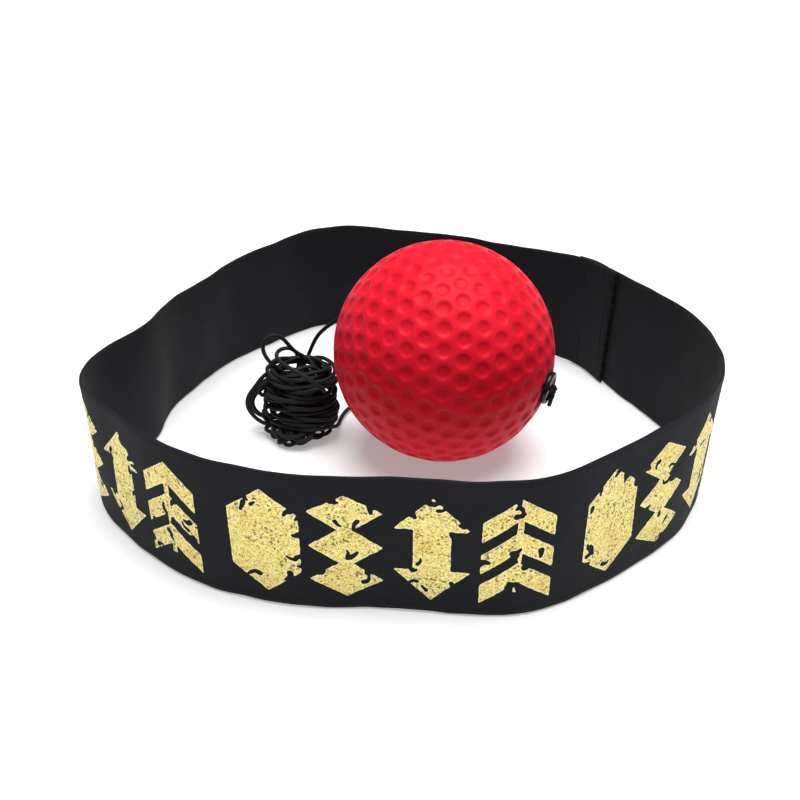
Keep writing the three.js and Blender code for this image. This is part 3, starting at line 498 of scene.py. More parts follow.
def foil_material():
    m, t, p = material("print_gold", Metallic=0.80, Specular_IOR_Level=0.5)
    xyz = place(t)
    fine = linked(t, "ShaderNodeTexVoronoi", Vector=xyz, Scale=3300.0, Randomness=1.0)
    flakes = t.nodes.new("ShaderNodeSeparateColor")
    t.links.new(fine.outputs["Color"], flakes.inputs[0])
    big = linked(t, "ShaderNodeTexVoronoi", Vector=xyz, Scale=2100.0, Randomness=1.0)
    clumps = t.nodes.new("ShaderNodeSeparateColor")
    t.links.new(big.outputs["Color"], clumps.inputs[0])
    glitter = ramp(t, flakes.outputs[0], [
        (0.0, (0.34, 0.23, 0.040)), (0.10, (0.60, 0.46, 0.095)), (0.26, (0.80, 0.66, 0.17)),
        (0.55, (0.90, 0.77, 0.24)), (0.84, (0.95, 0.85, 0.34)), (1.0, (0.98, 0.93, 0.58))])
    tone = ramp(t, noise_tex(t, xyz, 170.0, 3.0), [(0.28, (0.78, 0.70, 0.62)), (0.48, (0.86, 0.85, 0.90)), (0.72, (0.84, 0.87, 0.88))])
    col = mix(t, 1.0, glitter, tone, "MULTIPLY")
    # sparse dark and amber specks where the ink is thin
    thin = noise_tex(t, xyz, 210.0, 2.0)
    speck = maths(t, "MULTIPLY", maths(t, "LESS_THAN", clumps.outputs[1], 0.13), maths(t, "GREATER_THAN", thin, 0.46))
    col = mix(t, maths(t, "MULTIPLY", speck, 0.8), col, (0.10, 0.065, 0.018))
    amber = maths(t, "MULTIPLY", maths(t, "GREATER_THAN", clumps.outputs[2], 0.94), maths(t, "LESS_THAN", thin, 0.53))
    col = mix(t, maths(t, "MULTIPLY", amber, 0.45), col, (0.66, 0.38, 0.08))
    # painted highlight: the print's colour is paler along its edge, where the raised edge would catch the light
    edge = t.nodes.new("ShaderNodeAttribute")
    edge.attribute_name = "inset"
    rim = ramp(t, edge.outputs["Fac"], [(0.0, (1, 1, 1)), (0.16, (0.45, 0.45, 0.45)), (0.40, (0, 0, 0))])
    edge_highlight_fac = t.nodes.new("ShaderNodeSeparateColor")
    t.links.new(rim, edge_highlight_fac.inputs[0])
    col = mix(t, maths(t, "MULTIPLY", edge_highlight_fac.outputs[0], 0.55), col, (0.95, 0.90, 0.66))
    t.links.new(col, p.inputs["Base Color"])
    rough = maths(t, "ADD", maths(t, "MULTIPLY", flakes.outputs[1], 0.30), 0.34)
    t.links.new(rough, p.inputs["Roughness"])
    tilt = bump(t, flakes.outputs[2], 0.35, 0.10)
    t.links.new(tilt, p.inputs["Normal"])
    return m


def foam_material():
    m, t, p = material("foam_red", Specular_IOR_Level=0.07, Sheen_Weight=0.08, Sheen_Roughness=0.35, Sheen_Tint=(1.0, 0.45, 0.75, 1.0))
    xyz = place(t)
    broad = noise_tex(t, xyz, 45.0, 3.0)
    pores = noise_tex(t, xyz, 2300.0, 3.0)
    col = ramp(t, broad, [(0.30, (0.57, 0.0065, 0.0180)), (0.50, (0.63, 0.0085, 0.0220)), (0.72, (0.68, 0.0110, 0.0290))])
    # painted shade: the foam colour is made darker inside each dimple, where shade falls into the hollow
    pit = t.nodes.new("ShaderNodeAttribute")
    pit.attribute_name = "pit"
    col = mix(t, maths(t, "MULTIPLY", pit.outputs["Fac"], 0.28), col, (0.46, 0.0040, 0.013))
    t.links.new(col, p.inputs["Base Color"])
    rough = maths(t, "ADD", maths(t, "MULTIPLY", pores, 0.22), 0.34)
    t.links.new(rough, p.inputs["Roughness"])
    grain = maths(t, "ADD", maths(t, "MULTIPLY", pores, 0.6), maths(t, "MULTIPLY", noise_tex(t, xyz, 620.0, 2.0), 0.9))
    t.links.new(bump(t, grain, 0.30, 0.10), p.inputs["Normal"])
    return m


def cord_material():
    m, t, p = material("cord_black", Specular_IOR_Level=0.18, Sheen_Weight=0.05, Sheen_Roughness=0.4)
    uv, u, v = uv_parts(t)
    # eight-carrier braid: two crossing helices
    a = maths(t, "MULTIPLY", u, 2 * math.pi * 4)
    b = maths(t, "MULTIPLY", v, 2 * math.pi / 0.00155 * 1.0)
    one = maths(t, "SINE", maths(t, "ADD", a, b))
    two = maths(t, "SINE", maths(t, "SUBTRACT", a, b))
    braid = maths(t, "MULTIPLY", maths(t, "ADD", maths(t, "MULTIPLY", one, two), 1.0), 0.5)
    fibre = noise_tex(t, place(t), 6500.0, 2.0)
    height = maths(t, "ADD", braid, maths(t, "MULTIPLY", fibre, 0.35))
    col = ramp(t, height, [(0.0, (0.0030, 0.0031, 0.0038)), (0.6, (0.0080, 0.0083, 0.0100)), (1.0, (0.0150, 0.0155, 0.0180))])
    t.links.new(col, p.inputs["Base Color"])
    t.links.new(maths(t, "ADD", maths(t, "MULTIPLY", fibre, 0.2), 0.58), p.inputs["Roughness"])
    t.links.new(bump(t, height, 0.6, 0.12), p.inputs["Normal"])
    return m


def thread_material():
    m, t, p = material("thread_black", Specular_IOR_Level=0.15, Sheen_Weight=0.03, Sheen_Roughness=0.4)
    uv, u, v = uv_parts(t)
    twist = maths(t, "SINE", maths(t, "ADD", maths(t, "MULTIPLY", u, 2 * math.pi * 3), maths(t, "MULTIPLY", v, 2 * math.pi / 0.0006)))
    col = ramp(t, maths(t, "ADD", maths(t, "MULTIPLY", twist, 0.5), 0.5), [(0.0, (0.006, 0.006, 0.008)), (1.0, (0.028, 0.029, 0.034))])
    t.links.new(col, p.inputs["Base Color"])
    t.links.new(maths(t, "ADD", maths(t, "MULTIPLY", noise_tex(t, place(t), 4000.0, 1.0), 0.2), 0.45), p.inputs["Roughness"])
    t.links.new(bump(t, twist, 0.5, 0.05), p.inputs["Normal"])
    return m


def plastic_material():
    m, t, p = material("button_black", Specular_IOR_Level=0.24, Coat_Weight=0.06, Coat_Roughness=0.08)
    xyz = place(t)
    dust = noise_tex(t, xyz, 900.0, 4.0)
    swirl = noise_tex(t, xyz, 120.0, 2.0)
    col = ramp(t, swirl, [(0.3, (0.0055, 0.0056, 0.0062)), (0.7, (0.0095, 0.0096, 0.0105))])
    t.links.new(col, p.inputs["Base Color"])
    t.links.new(maths(t, "ADD", maths(t, "MULTIPLY", dust, 0.16), 0.10), p.inputs["Roughness"])
    t.links.new(bump(t, swirl, 0.08, 0.2), p.inputs["Normal"])
    return m


WEBBING = webbing_material()
FOIL = foil_material()
FOAM = foam_material()
CORD = cord_material()
THREAD = thread_material()
PLASTIC = plastic_material()
free_cord.data.materials.append(CORD)


# ------------------------------------------------------------------ ring geometry

def series(c, th):
    v = np.full_like(th, c[0], dtype=float)
    for k in range(1, len(c) // 2 + 1):
        v = v + c[2 * k - 1] * np.cos(k * th) + c[2 * k] * np.sin(k * th)
    return v


def ring_point(th, z):
    th, z = np.broadcast_arrays(np.asarray(th, float), np.asarray(z, float))
    top = series(TOP_EDGE_SERIES, th)
    low = top + series(LOWER_EDGE_SERIES, th)
    r = low + (top - low) * z / BAND_HEIGHT
    return np.stack([BAND_CENTRE[0] + r * np.cos(th), BAND_CENTRE[1] + r * np.sin(th), z], -1)


def ring_normal(th, z):
    d = 1e-3
    t = ring_point(np.asarray(th) + d, z) - ring_point(np.asarray(th) - d, z)
    n = np.stack([t[..., 1], -t[..., 0], np.zeros_like(t[..., 0])], -1)
    return n / np.linalg.norm(n, axis=-1, keepdims=True)


TH0 = SEAM_START
TH1 = TH0 + 2 * math.pi + math.radians(SEAM_LAP_DEG)


def lap_shift(th):
    flat, run = math.radians(SEAM_LAP_DEG + 1.5), math.radians(LAP_RAMP_DEG)
    return -LAP_SHIFT * (1 - smooth((th - TH0 - flat) / run)) + LAP_SHIFT * (1 - smooth((TH1 - th - flat) / run))


def strip_point(th, z, off):
    return ring_point(th, z) + ring_normal(th, z) * (lap_shift(np.asarray(th, float)) + off)[..., None]


ARC_TH = TH0 + (TH1 - TH0) * np.arange(3001) / 3000
_mid = ring_point(ARC_TH, BAND_HEIGHT / 2)
ARC_S = np.concatenate([[0], np.cumsum(np.linalg.norm(np.diff(_mid, axis=0), axis=1))])
ARC_S = ARC_S - ARC_S[np.argmax(ARC_TH >= math.radians(270))]
S_START, S_END = ARC_S[0], ARC_S[-1]


def angle_at(s):
    return np.interp(s, ARC_S, ARC_TH)


def arc_at(th):
    return np.interp(th, ARC_TH, ARC_S)


# ------------------------------------------------------------------ webbing

def webbing():
    # closed outline of the cross-section: outer face up, over the top edge, inner face down
    zs = np.linspace(0.55, BAND_HEIGHT - 0.55, 94)
    rib = 0.5 * (1 + np.cos(2 * np.pi * zs / 1.583))          # 24 ribs
    bead = np.exp(-((zs - 1.5) / 0.9) ** 2) + np.exp(-((BAND_HEIGHT - 1.5 - zs) / 0.9) ** 2)
    off = HALF_THICK - 0.085 + 0.055 * rib + 0.05 * bead - 0.10 * (np.exp(-((zs - 0.55) / 0.35) ** 2) + np.exp(-((BAND_HEIGHT - 0.55 - zs) / 0.35) ** 2))
    turn = np.linspace(0, np.pi, 7)[1:-1]
    rim = HALF_THICK - 0.185
    outline = [(z, o) for z, o in zip(zs, off)]
    outline += [(BAND_HEIGHT - 0.55 + 0.52 * math.sin(a), rim * math.cos(a)) for a in turn]
    outline += [(z, -o) for z, o in zip(zs[::-1], off[::-1])]
    outline += [(0.55 - 0.52 * math.sin(a), -rim * math.cos(a)) for a in turn]
    outline = np.array(outline)
    m = len(outline)
    length = S_END - S_START
    n = 300
    s = S_START + length * np.arange(n + 1) / n
    th = angle_at(s)
    TH, Z = np.meshgrid(th, outline[:, 0], indexing="ij")
    OFF = np.broadcast_to(outline[:, 1], TH.shape).copy()
    S = np.broadcast_to(s[:, None], TH.shape)
    # slow sideways swell of slack elastic, alike on both faces
    sway = (0.16 * np.sin(S / 9.3 + 0.4) * np.sin(Z / 12.0 + S / 61.0) + 0.10 * np.sin(S / 4.1 + Z / 7.0)
            + 0.06 * np.sin(S / 2.3 - Z / 5.0 + 1.3))
    calm = smooth((S - S_START - 16) / 14) * smooth((S_END - S - 16) / 14)
    OFF = OFF + sway * (0.25 + 0.75 * calm)
    P = strip_point(TH, Z, OFF)
    # uneven edges, and the inner end of the lap sits a little high
    up = 0.10 * np.sin(S / 7.7 + 1.0) + 0.07 * np.sin(S / 3.3) + 0.05 * np.sin(S / 1.9 + 2.0)
    lifted = INNER_END_LIFT * (1 - smooth((S - S_START - 14) / 34))
    P[..., 2] += np.where(Z > 19, up * (Z - 19) / 19, np.abs(up) * (19 - Z) / 19) + lifted
    # cut ends: a slightly wavy, pressed heat cut
    for row, sg in ((0, -1), (n, 1)):
        t = P[row] - P[row - sg * 1]
        t /= np.linalg.norm(t, axis=1)[:, None]
        P[row] += t * (0.22 * np.sin(outline[:, 0] * 1.7) + 0.14 * np.sin(outline[:, 0] * 4.1 + 1))[:, None]
    verts = P.reshape(-1, 3)
    faces, uvs = [], []
    v_of = outline[:, 0]
    for i in range(n):
        u0, u1 = s[i] * MM, s[i + 1] * MM
        for k in range(m):
            k1 = (k + 1) % m
            faces.append((i * m + k, (i + 1) * m + k, (i + 1) * m + k1, i * m + k1))
            a, b = v_of[k] * MM, v_of[k1] * MM
            uvs += [(u0, a), (u1, a), (u1, b), (u0, b)]
    # end caps as strips across the thickness
    half = len(zs)
    for row in (0, n):
        base = row * m
        loop = list(range(m))
        left, right = 0, m - 1
        quads = []
        # pairs (outer k, inner m' ) with the same height
        outer = list(range(half + 2))
        inner = [(half + 5 + half - 1 - k) for k in range(half)]
        chain_o = outer[:half]
        chain_i = inner
        for k in range(half - 1):
            quads.append((chain_o[k], chain_o[k + 1], chain_i[k + 1], chain_i[k]))
        top = [half - 1] + [half + j for j in range(5)] + [half + 5]
        bottom = [m - 6] + [m - 5 + j for j in range(5)] + [0]
        polys = quads + [tuple(top), tuple(bottom)]
        for q in polys:
            q = tuple(base + x for x in q)
            faces.append(q if row else q[::-1])
            uvs += [(s[row] * MM, 0.0)] * len(q)
    ob = new_object("webbing_band", verts, faces, uvs)
    ob.data.materials.append(WEBBING)
    return ob


INNER_END_LIFT = 0.20
band = webbing()
bm = bmesh.new()
bm.from_mesh(band.data)
bmesh.ops.recalc_face_normals(bm, faces=bm.faces)
bm.to_mesh(band.data)
bm.free()
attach(band, "headband")
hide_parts("headband_strap")


# ------------------------------------------------------------------ lockstitch rows on the lap

def stitch_row(name, th_mid, face, node):
    """Short threads that dip into the webbing at both ends, one after another up the row."""
    pieces_v, pieces_f, pieces_uv = [], [], []
    sides, count, pitch = 8, 13, 2.72
    s_mid = arc_at(th_mid)
    surface = face * (HALF_THICK - 0.02)
    lift = INNER_END_LIFT if face < 0 else 0.0
    for j in range(count):
        z0 = 1.7 + j * pitch
        q = np.linspace(0, 1, 12)
        z = z0 + q * (pitch * 0.96)
        hump = np.sin(np.pi * q) ** 0.5
        lean = (q - 0.5) * 0.34
        off = surface + face * (hump * 0.24 - 0.16)
        path = strip_point(angle_at(s_mid + lean), z, off)
        path[:, 2] += lift
        t, n, b = frames_along(path)
        ang = 2 * np.pi * np.arange(sides) / sides
        rad = 0.17
        ring = path[:, None, :] + rad * (n[:, None, :] * np.cos(ang)[None, :, None] + b[:, None, :] * np.sin(ang)[None, :, None])
        base = len(pieces_v)
        pieces_v += ring.reshape(-1, 3).tolist()
        for i in range(len(path) - 1):
            for k in range(sides):
                k1 = (k + 1) % sides
                pieces_f.append((base + i * sides + k, base + i * sides + k1, base + (i + 1) * sides + k1, base + (i + 1) * sides + k))
                pieces_uv += [(k / sides, z[i] * MM), ((k + 1) / sides, z[i] * MM), ((k + 1) / sides, z[i + 1] * MM), (k / sides, z[i + 1] * MM)]
        for i, rev in ((0, True), (len(path) - 1, False)):
            loop = [base + i * sides + k for k in range(sides)]
            pieces_f.append(tuple(loop[::-1] if rev else loop))
            pieces_uv += [(0.0, 0.0)] * sides
    ob = new_object(name, pieces_v, pieces_f, pieces_uv)
    ob.data.materials.append(THREAD)
    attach(ob, "headband")
    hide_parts(node)
    return ob


row_left = TH0 + math.radians(SEAM_LAP_DEG - STITCH_INSET_DEG)
row_right = TH0 + math.radians(STITCH_INSET_DEG)
stitch_row("stitches_left_outside", row_left + 2 * math.pi, 1, "seam_left_row_needle_thread")
stitch_row("stitches_right_outside", row_right + 2 * math.pi, 1, "seam_right_row_needle_thread")
stitch_row("stitches_left_inside", row_left, -1, "seam_left_row_bobbin_thread")
stitch_row("stitches_right_inside", row_right, -1, "seam_right_row_bobbin_thread")


# ------------------------------------------------------------------ printed film

def poly_field(X, Y, pts):
    """Signed distance to a closed outline, positive inside."""
    P = np.array(pts, float)
    best = np.full(X.shape, 1e9)
    inside = np.zeros(X.shape, bool)
    for i in range(len(P)):
        a, b = P[i], P[(i + 1) % len(P)]
        e = b - a
        t = np.clip(((X - a[0]) * e[0] + (Y - a[1]) * e[1]) / (e @ e), 0, 1)
        best = np.minimum(best, np.hypot(X - a[0] - t * e[0], Y - a[1] - t * e[1]))
        cross = (a[1] > Y) != (b[1] > Y)
        with np.errstate(divide="ignore", invalid="ignore"):
            xi = a[0] + (Y - a[1]) * e[0] / (e[1] if e[1] else 1e-12)
        inside ^= cross & (X < xi)
    return np.where(inside, best, -best)


def motif_field(kind, w, X, Y):
    x, h = w / 2, PRINT_HEIGHT / 2
    if kind == "hexagon":
        return poly_field(X, Y, [(0, -h), (x, -h + 6.5), (x, h - 6.5), (0, h), (-x, h - 6.5), (-x, -h + 6.5)])
    if kind == "argyle":
        t = h / 3
        return poly_field(X, Y, [(0, -h), (x, -2 * t), (1.6, -t), (x, 0), (1.6, t), (x, 2 * t), (0, h),
                                 (-x, 2 * t), (-1.6, t), (-x, 0), (-1.6, -t), (-x, -2 * t)])
    if kind == "arrow":
        return poly_field(X, Y, [(0, -h), (x, -h + 8.8), (4.3, -h + 8.8), (4.3, h - 8.8), (x, h - 8.8), (0, h), (-x, h - 8.8), (-4.3, h - 8.8), (-4.3, -h + 8.8), (-x, -h + 8.8)])
    f = poly_field(X, Y, [(-0.7, -h + 3), (0.7, -h + 3), (0.7, h - 3), (-0.7, h - 3)])
    for i in range(3):
        t = h - i * 8.75
        f = np.maximum(f, poly_field(X, Y, [(-x, t - 11.5), (0, t - 5.5), (x, t - 11.5), (x, t - 6), (0, t), (-x, t - 6)]))
    return f


def wavy(X, Y, seed):
    r = random.Random(seed)
    out = np.zeros(X.shape)
    for scale, amp in ((1.1, 0.035), (2.3, 0.035), (4.5, 0.05)):
        for _ in range(3):
            a = r.uniform(0, math.tau)
            out += amp / 2 * np.sin(scale * (X * math.cos(a) + Y * math.sin(a)) * 1.0 + r.uniform(0, math.tau))
    return out


def chips(X, Y, f0, w, seed):
    """Missing flakes of ink: crooked short strokes and notches bitten into the edges."""
    r = random.Random(seed)
    keep = np.full(X.shape, 1e9)
    x, h = w / 2, PRINT_HEIGHT / 2

    def stroke(px, py, a, steps, width, reach):
        nonlocal keep
        for k in range(steps):
            qx, qy = px + math.cos(a) * reach, py + math.sin(a) * reach
            e = (qx - px, qy - py)
            t = np.clip(((X - px) * e[0] + (Y - py) * e[1]) / (e[0] ** 2 + e[1] ** 2), 0, 1)
            wd = width * (1 - 0.45 * (k + t) / steps)
            keep = np.minimum(keep, np.hypot(X - px - t * e[0], Y - py - t * e[1]) - wd)
            px, py = qx, qy
            a += r.uniform(-0.9, 0.9)

    # worm-like flakes, mostly near the outline
    edge = np.argwhere((f0 > 0.2) & (f0 < 2.6))
    for _ in range(6):
        i, j = edge[r.randrange(len(edge))]
        stroke(X[i, j], Y[i, j], r.uniform(0, math.tau), r.choice((2, 3, 3)), r.uniform(0.50, 0.86), r.uniform(0.55, 1.1))
    # notches start on the outline
    edge = np.argwhere(np.abs(f0) < 0.25)
    for _ in range(5):
        i, j = edge[r.randrange(len(edge))]
        px, py = X[i, j], Y[i, j]
        a = math.atan2(-py, -px) + r.uniform(-0.9, 0.9)
        stroke(px, py, a, r.choice((1, 2)), r.uniform(0.6, 1.05), r.uniform(0.5, 1.1))
    for _ in range(7):
        stroke(r.uniform(-x, x), r.uniform(-h, h), r.uniform(0, math.tau), 1, r.uniform(0.20, 0.32), r.uniform(0.1, 0.6))
    return keep


def film(name, node, kind, s_mid, w, seed):
    step = 0.36
    nx, ny = int(math.ceil((w + 0.8) / step)), int(math.ceil((PRINT_HEIGHT + 0.8) / step))
    gx = (np.arange(nx + 1) - nx / 2) * step
    gy = (np.arange(ny + 1) - ny / 2) * step
    X, Y = np.meshgrid(gx, gy, indexing="ij")
    f0 = motif_field(kind, w, X, Y)
    f = np.minimum(f0 + wavy(X, Y, seed), chips(X, Y, f0, w, seed + 1000))
    # walk the cells: each inside region becomes a polygon with its crossings on the cell's sides
    index, pts, ins = {}, [], []

    def vert(key, p, d):
        if key not in index:
            index[key] = len(pts)
            pts.append(p)
            ins.append(d)
        return index[key]

    polys = []
    inside = f > 0
    for i in range(nx):
        for j in range(ny):
            c = ((i, j), (i + 1, j), (i + 1, j + 1), (i, j + 1))
            n_in = sum(inside[q] for q in c)
            if not n_in:
                continue
            poly = []
            for k in range(4):
                a, b = c[k], c[(k + 1) % 4]
                if inside[a]:
                    poly.append(vert(a, (X[a], Y[a]), f[a]))
                if inside[a] != inside[b]:
                    lo, hi = (a, b) if a < b else (b, a)
                    q = min(0.93, max(0.07, f[lo] / (f[lo] - f[hi])))
                    poly.append(vert((lo, hi), (X[lo] + (X[hi] - X[lo]) * q, Y[lo] + (Y[hi] - Y[lo]) * q), 0.0))
            if len(poly) > 2:
                polys.append(poly)
    pts, ins = np.array(pts), np.array(ins)
    count = len(pts)

    def to_ring(xy, off):
        return strip_point(angle_at(s_mid + xy[:, 0]), PRINT_Z + xy[:, 1], off)

    s_abs = s_mid + pts[:, 0]
    zz = PRINT_Z + pts[:, 1]
    sway = (0.16 * np.sin(s_abs / 9.3 + 0.4) * np.sin(zz / 12.0 + s_abs / 61.0) + 0.10 * np.sin(s_abs / 4.1 + zz / 7.0)
            + 0.06 * np.sin(s_abs / 2.3 - zz / 5.0 + 1.3))
    calm = smooth((s_abs - S_START - 16) / 14) * smooth((S_END - s_abs - 16) / 14)
    sway = sway * (0.25 + 0.75 * calm)
    rib = 0.5 * (1 + np.cos(2 * np.pi * zz / 1.583))
    top = to_ring(pts, HALF_THICK - 0.085 + 0.055 * rib + sway + 0.035 + 0.045 * smooth(ins / 0.35) + 0.02)
    low = to_ring(pts, HALF_THICK - 0.085 + 0.0 * rib + sway - 0.03)
    verts = np.vstack([top, low])
    faces, uvs = [], []
    count_edges = {}
    for poly in polys:
        for k in range(len(poly)):
            a, b = poly[k], poly[(k + 1) % len(poly)]
            count_edges[(a, b)] = count_edges.get((a, b), 0) + 1
    for poly in polys:
        faces.append(tuple(poly))
        uvs += [(s_abs[q] * MM, zz[q] * MM) for q in poly]
        faces.append(tuple(q + count for q in poly[::-1]))
        uvs += [(s_abs[q] * MM, zz[q] * MM) for q in poly[::-1]]
    for (a, b) in count_edges:
        if (b, a) not in count_edges:
            faces.append((b, a, a + count, b + count))
            uvs += [(s_abs[q] * MM, zz[q] * MM) for q in (b, a, a, b)]
    ob = new_object(name, verts, faces, uvs, attrs={"inset": np.concatenate([ins, np.zeros(count)])}, crease_deg=50)
    ob.data.materials.append(FOIL)
    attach(ob, "headband")
    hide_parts(node)
    return ob


KINDS = ("hexagon", "argyle", "arrow", "chevrons")
number = 0
for k in range(-3, 3):
    for i, (c, w) in enumerate(PRINT_MOTIFS):
        s = c + k * PRINT_PERIOD
        if angle_at(s + w / 2) > TH0 + 2 * math.pi - math.radians(1):
            continue
        number += 1
        film(f"film_{KINDS[i]}_{number:02d}", f"print_{KINDS[i]}_{number:02d}", KINDS[i], s, w, 7 + number * 13)


# ------------------------------------------------------------------ foam ball

def lattice(b, c):
    """Directions of an icosahedral triangular lattice, 10(bb + bc + cc) + 2 of them."""
    g = (1 + 5 ** 0.5) / 2
    V = np.array([(-1, g, 0), (1, g, 0), (-1, -g, 0), (1, -g, 0), (0, -1, g), (0, 1, g), (0, -1, -g), (0, 1, -g), (g, 0, -1), (g, 0, 1), (-g, 0, -1), (-g, 0, 1)], float)
    V /= np.linalg.norm(V[0])
    F = [(0, 11, 5), (0, 5, 1), (0, 1, 7), (0, 7, 10), (0, 10, 11), (1, 5, 9), (5, 11, 4), (11, 10, 2), (10, 7, 6), (7, 1, 8),
         (3, 9, 4), (3, 4, 2), (3, 2, 6), (3, 6, 8), (3, 8, 9), (4, 9, 5), (2, 4, 11), (6, 2, 10), (8, 6, 7), (9, 8, 1)]
    e1, e2 = np.array([1.0, 0.0]), np.array([0.5, 3 ** 0.5 / 2])
    A, B, C = np.zeros(2), b * e1 + c * e2, -c * e1 + (b + c) * e2
    M = np.linalg.inv(np.array([B - A, C - A]).T)
    out = []
    for f in F:
        p0, p1, p2 = V[list(f)]
        for i in range(-c - 1, b + 2):
            for j in range(-1, b + c + 2):
                u, v = M @ (i * e1 + j * e2)
                if u < -1e-6 or v < -1e-6 or u + v > 1 + 1e-6:
                    continue
                d = p0 * (1 - u - v) + p1 * u + p2 * v
                d /= np.linalg.norm(d)
                if not any(np.dot(d, q) > 0.99999 for q in out):
                    out.append(d)
    D = np.array(out)
    # even out the spacing
    span = (4 * math.pi / len(D) * 2 / 3 ** 0.5) ** 0.5
    for _ in range(90):
        L = np.sqrt(np.maximum(2 - 2 * np.clip(D @ D.T, -1, 1), 1e-12)) / span
        np.fill_diagonal(L, 1e9)
        w = 1 / L ** 5
        push = D * w.sum(1)[:, None] - w @ D
        push -= D * np.sum(push * D, axis=1)[:, None]
        D = D + 0.035 * push
        D /= np.linalg.norm(D, axis=1)[:, None]
    return D


def pit_shape(d):
    # a flat-bottomed dimple about 4.1 mm across with a rounded rim
    return 0.86 * (1 - smooth((d - 1.18) / 1.05)) + 0.14 * (1 - smooth(d / 1.5))


def foam_ball():
    D = lattice(6, 1)
    # turn the lattice so that one of its lines stands upright on the side that faces the front
    look = np.array([-12.4, -279.7, 133.1])
    look /= np.linalg.norm(look)
    i = int(np.argmax(D @ look))
    d = D[i]
    dots = D @ d
    j = int(np.argsort(-dots)[1])
    a = D[j] - d * (D[j] @ d)
    a /= np.linalg.norm(a)
    up = np.array([0, 0, 1.0]) - look * look[2]
    up /= np.linalg.norm(up)
    src = np.array([d, a, np.cross(d, a)])
    dst = np.array([look, up, np.cross(look, up)])
    D = D @ (dst.T @ src).T
    depth = 0.52
    rings = [(0.0, 1), (0.6, 8), (1.05, 13), (1.35, 17), (1.6, 20), (1.8, 22), (2.0, 22), (2.2, 22), (2.42, 20)]
    pts = []
    for q, d in enumerate(D):
        e1 = np.cross(d, (0, 0, 1.0) if abs(d[2]) < 0.9 else (1.0, 0, 0))
        e1 /= np.linalg.norm(e1)
        e2 = np.cross(d, e1)
        for r, n in rings:
            for k in range(n):
                a = 2 * math.pi * (k + (0.5 if int(r * 10) % 2 else 0)) / n + q
                t = r / BALL_RADIUS
                v = d * math.cos(t) + (e1 * math.cos(a) + e2 * math.sin(a)) * math.sin(t)
                pts.append(v)
    pts = np.array(pts)
    # the middle of each triangle of dimples
    dots = D @ D.T
    np.fill_diagonal(dots, -1)
    order = np.argsort(-dots, axis=1)[:, :6]
    extra = set()
    for i in range(len(D)):
        near = [int(x) for x in order[i]]
        for x in near:
            for y in near:
                if x < y and dots[x, y] > math.cos(1.35 * 5.9 / BALL_RADIUS):
                    extra.add(tuple(sorted((i, x, y))))
    mids = []
    for tri in extra:
        v = D[list(tri)].sum(0)
        mids.append(v / np.linalg.norm(v))
    pts = np.vstack([pts, np.array(mids)])
    # the cord's bore: no points inside its mouth, a ring on it
    side = np.abs(pts @ BORE_AXIS)
    mouth = 1.35 / BALL_RADIUS
    pts = pts[side < math.cos(mouth * 1.25)]
    e1 = np.cross(BORE_AXIS, (0, 0, 1.0))
    e1 /= np.linalg.norm(e1)
    e2 = np.cross(BORE_AXIS, e1)
    loops = []
    for sg in (1, -1):
        loop = []
        for k in range(20):
            a = 2 * math.pi * k / 20
            loop.append(len(pts) + k)
        ring = np.array([sg * BORE_AXIS * math.cos(mouth) + (e1 * math.cos(2 * math.pi * k / 20) + e2 * math.sin(2 * math.pi * k / 20)) * math.sin(mouth) for k in range(20)])
        pts = np.vstack([pts, ring])
        loops.append(loop)
    bm = bmesh.new()
    for p in pts:
        bm.verts.new(p.tolist())
    bm.verts.ensure_lookup_table()
    for k, v in enumerate(bm.verts):
        v.index = k
    tag = bm.verts.layers.int.new("order")
    for k, v in enumerate(bm.verts):
        v[tag] = k
    res = bmesh.ops.convex_hull(bm, input=list(bm.verts), use_existing_faces=False)
    bm.faces.ensure_lookup_table()
    # the flat lids over the two mouths go
    lids = [f for f in bm.faces if abs(f.calc_center_median().normalized().dot(Vector(BORE_AXIS))) > math.cos(mouth * 0.85)]
    bmesh.ops.delete(bm, geom=lids, context="FACES_ONLY")
    loose = [e for e in bm.edges if not e.link_faces]
    bmesh.ops.delete(bm, geom=loose, context="EDGES")
    loose = [v for v in bm.verts if not v.link_faces]
    bmesh.ops.delete(bm, geom=loose, context="VERTS")
    bm.verts.ensure_lookup_table()
    P = np.array([v.co[:] for v in bm.verts])
    P /= np.linalg.norm(P, axis=1)[:, None]
    nearest = np.arccos(np.clip((P @ D.T).max(1), -1, 1)) * BALL_RADIUS
    pit = pit_shape(nearest)
    lip = 0.06 * np.exp(-((nearest - 2.42) / 0.30) ** 2)
    # the stop button presses a shallow seat into the foam
    pole = np.arccos(np.clip(P @ BORE_AXIS, -1, 1)) * BALL_RADIUS
    calm = smooth((pole - SEAT_RADIUS + 0.2) / 1.6)
    r = BALL_RADIUS - depth * pit * calm + lip - 0.05
    seat = SEAT_AT / np.maximum(np.abs(P @ BORE_AXIS), 0.5)
    r = np.where(P @ BORE_AXIS > 0.5, seat + (r - seat) * smooth((pole - SEAT_RADIUS + 0.25) / 1.0), r)
    # the moulded ball is not perfectly even
    r += 0.06 * np.sin(P[:, 0] * 5 + 1) * np.sin(P[:, 1] * 4 + 2) + 0.04 * np.sin(P[:, 2] * 9 + P[:, 0] * 3)
    r = np.minimum(r, BALL_RADIUS)
    for v, q, rr in zip(bm.verts, P, r):
        v.co = Vector((q * rr).tolist())
    # bore walls from mouth to mouth
    rims = []
    for sg in (1, -1):
        edges = [e for e in bm.edges if e.is_boundary and e.verts[0].co.dot(Vector(BORE_AXIS)) * sg > 0]
        ring = []
        start = edges[0].verts[0]
        v, prev = start, None
        while True:
            ring.append(v)
            nxt = [e for e in v.link_edges if e.is_boundary and e is not prev]
            e = nxt[0]
            prev = e
            v = e.other_vert(v)
            if v is start:
                break
        rims.append(ring)

    def ang(v):
        c = np.array(v.co[:])
        return math.atan2(c @ e2, c @ e1) % (2 * math.pi)

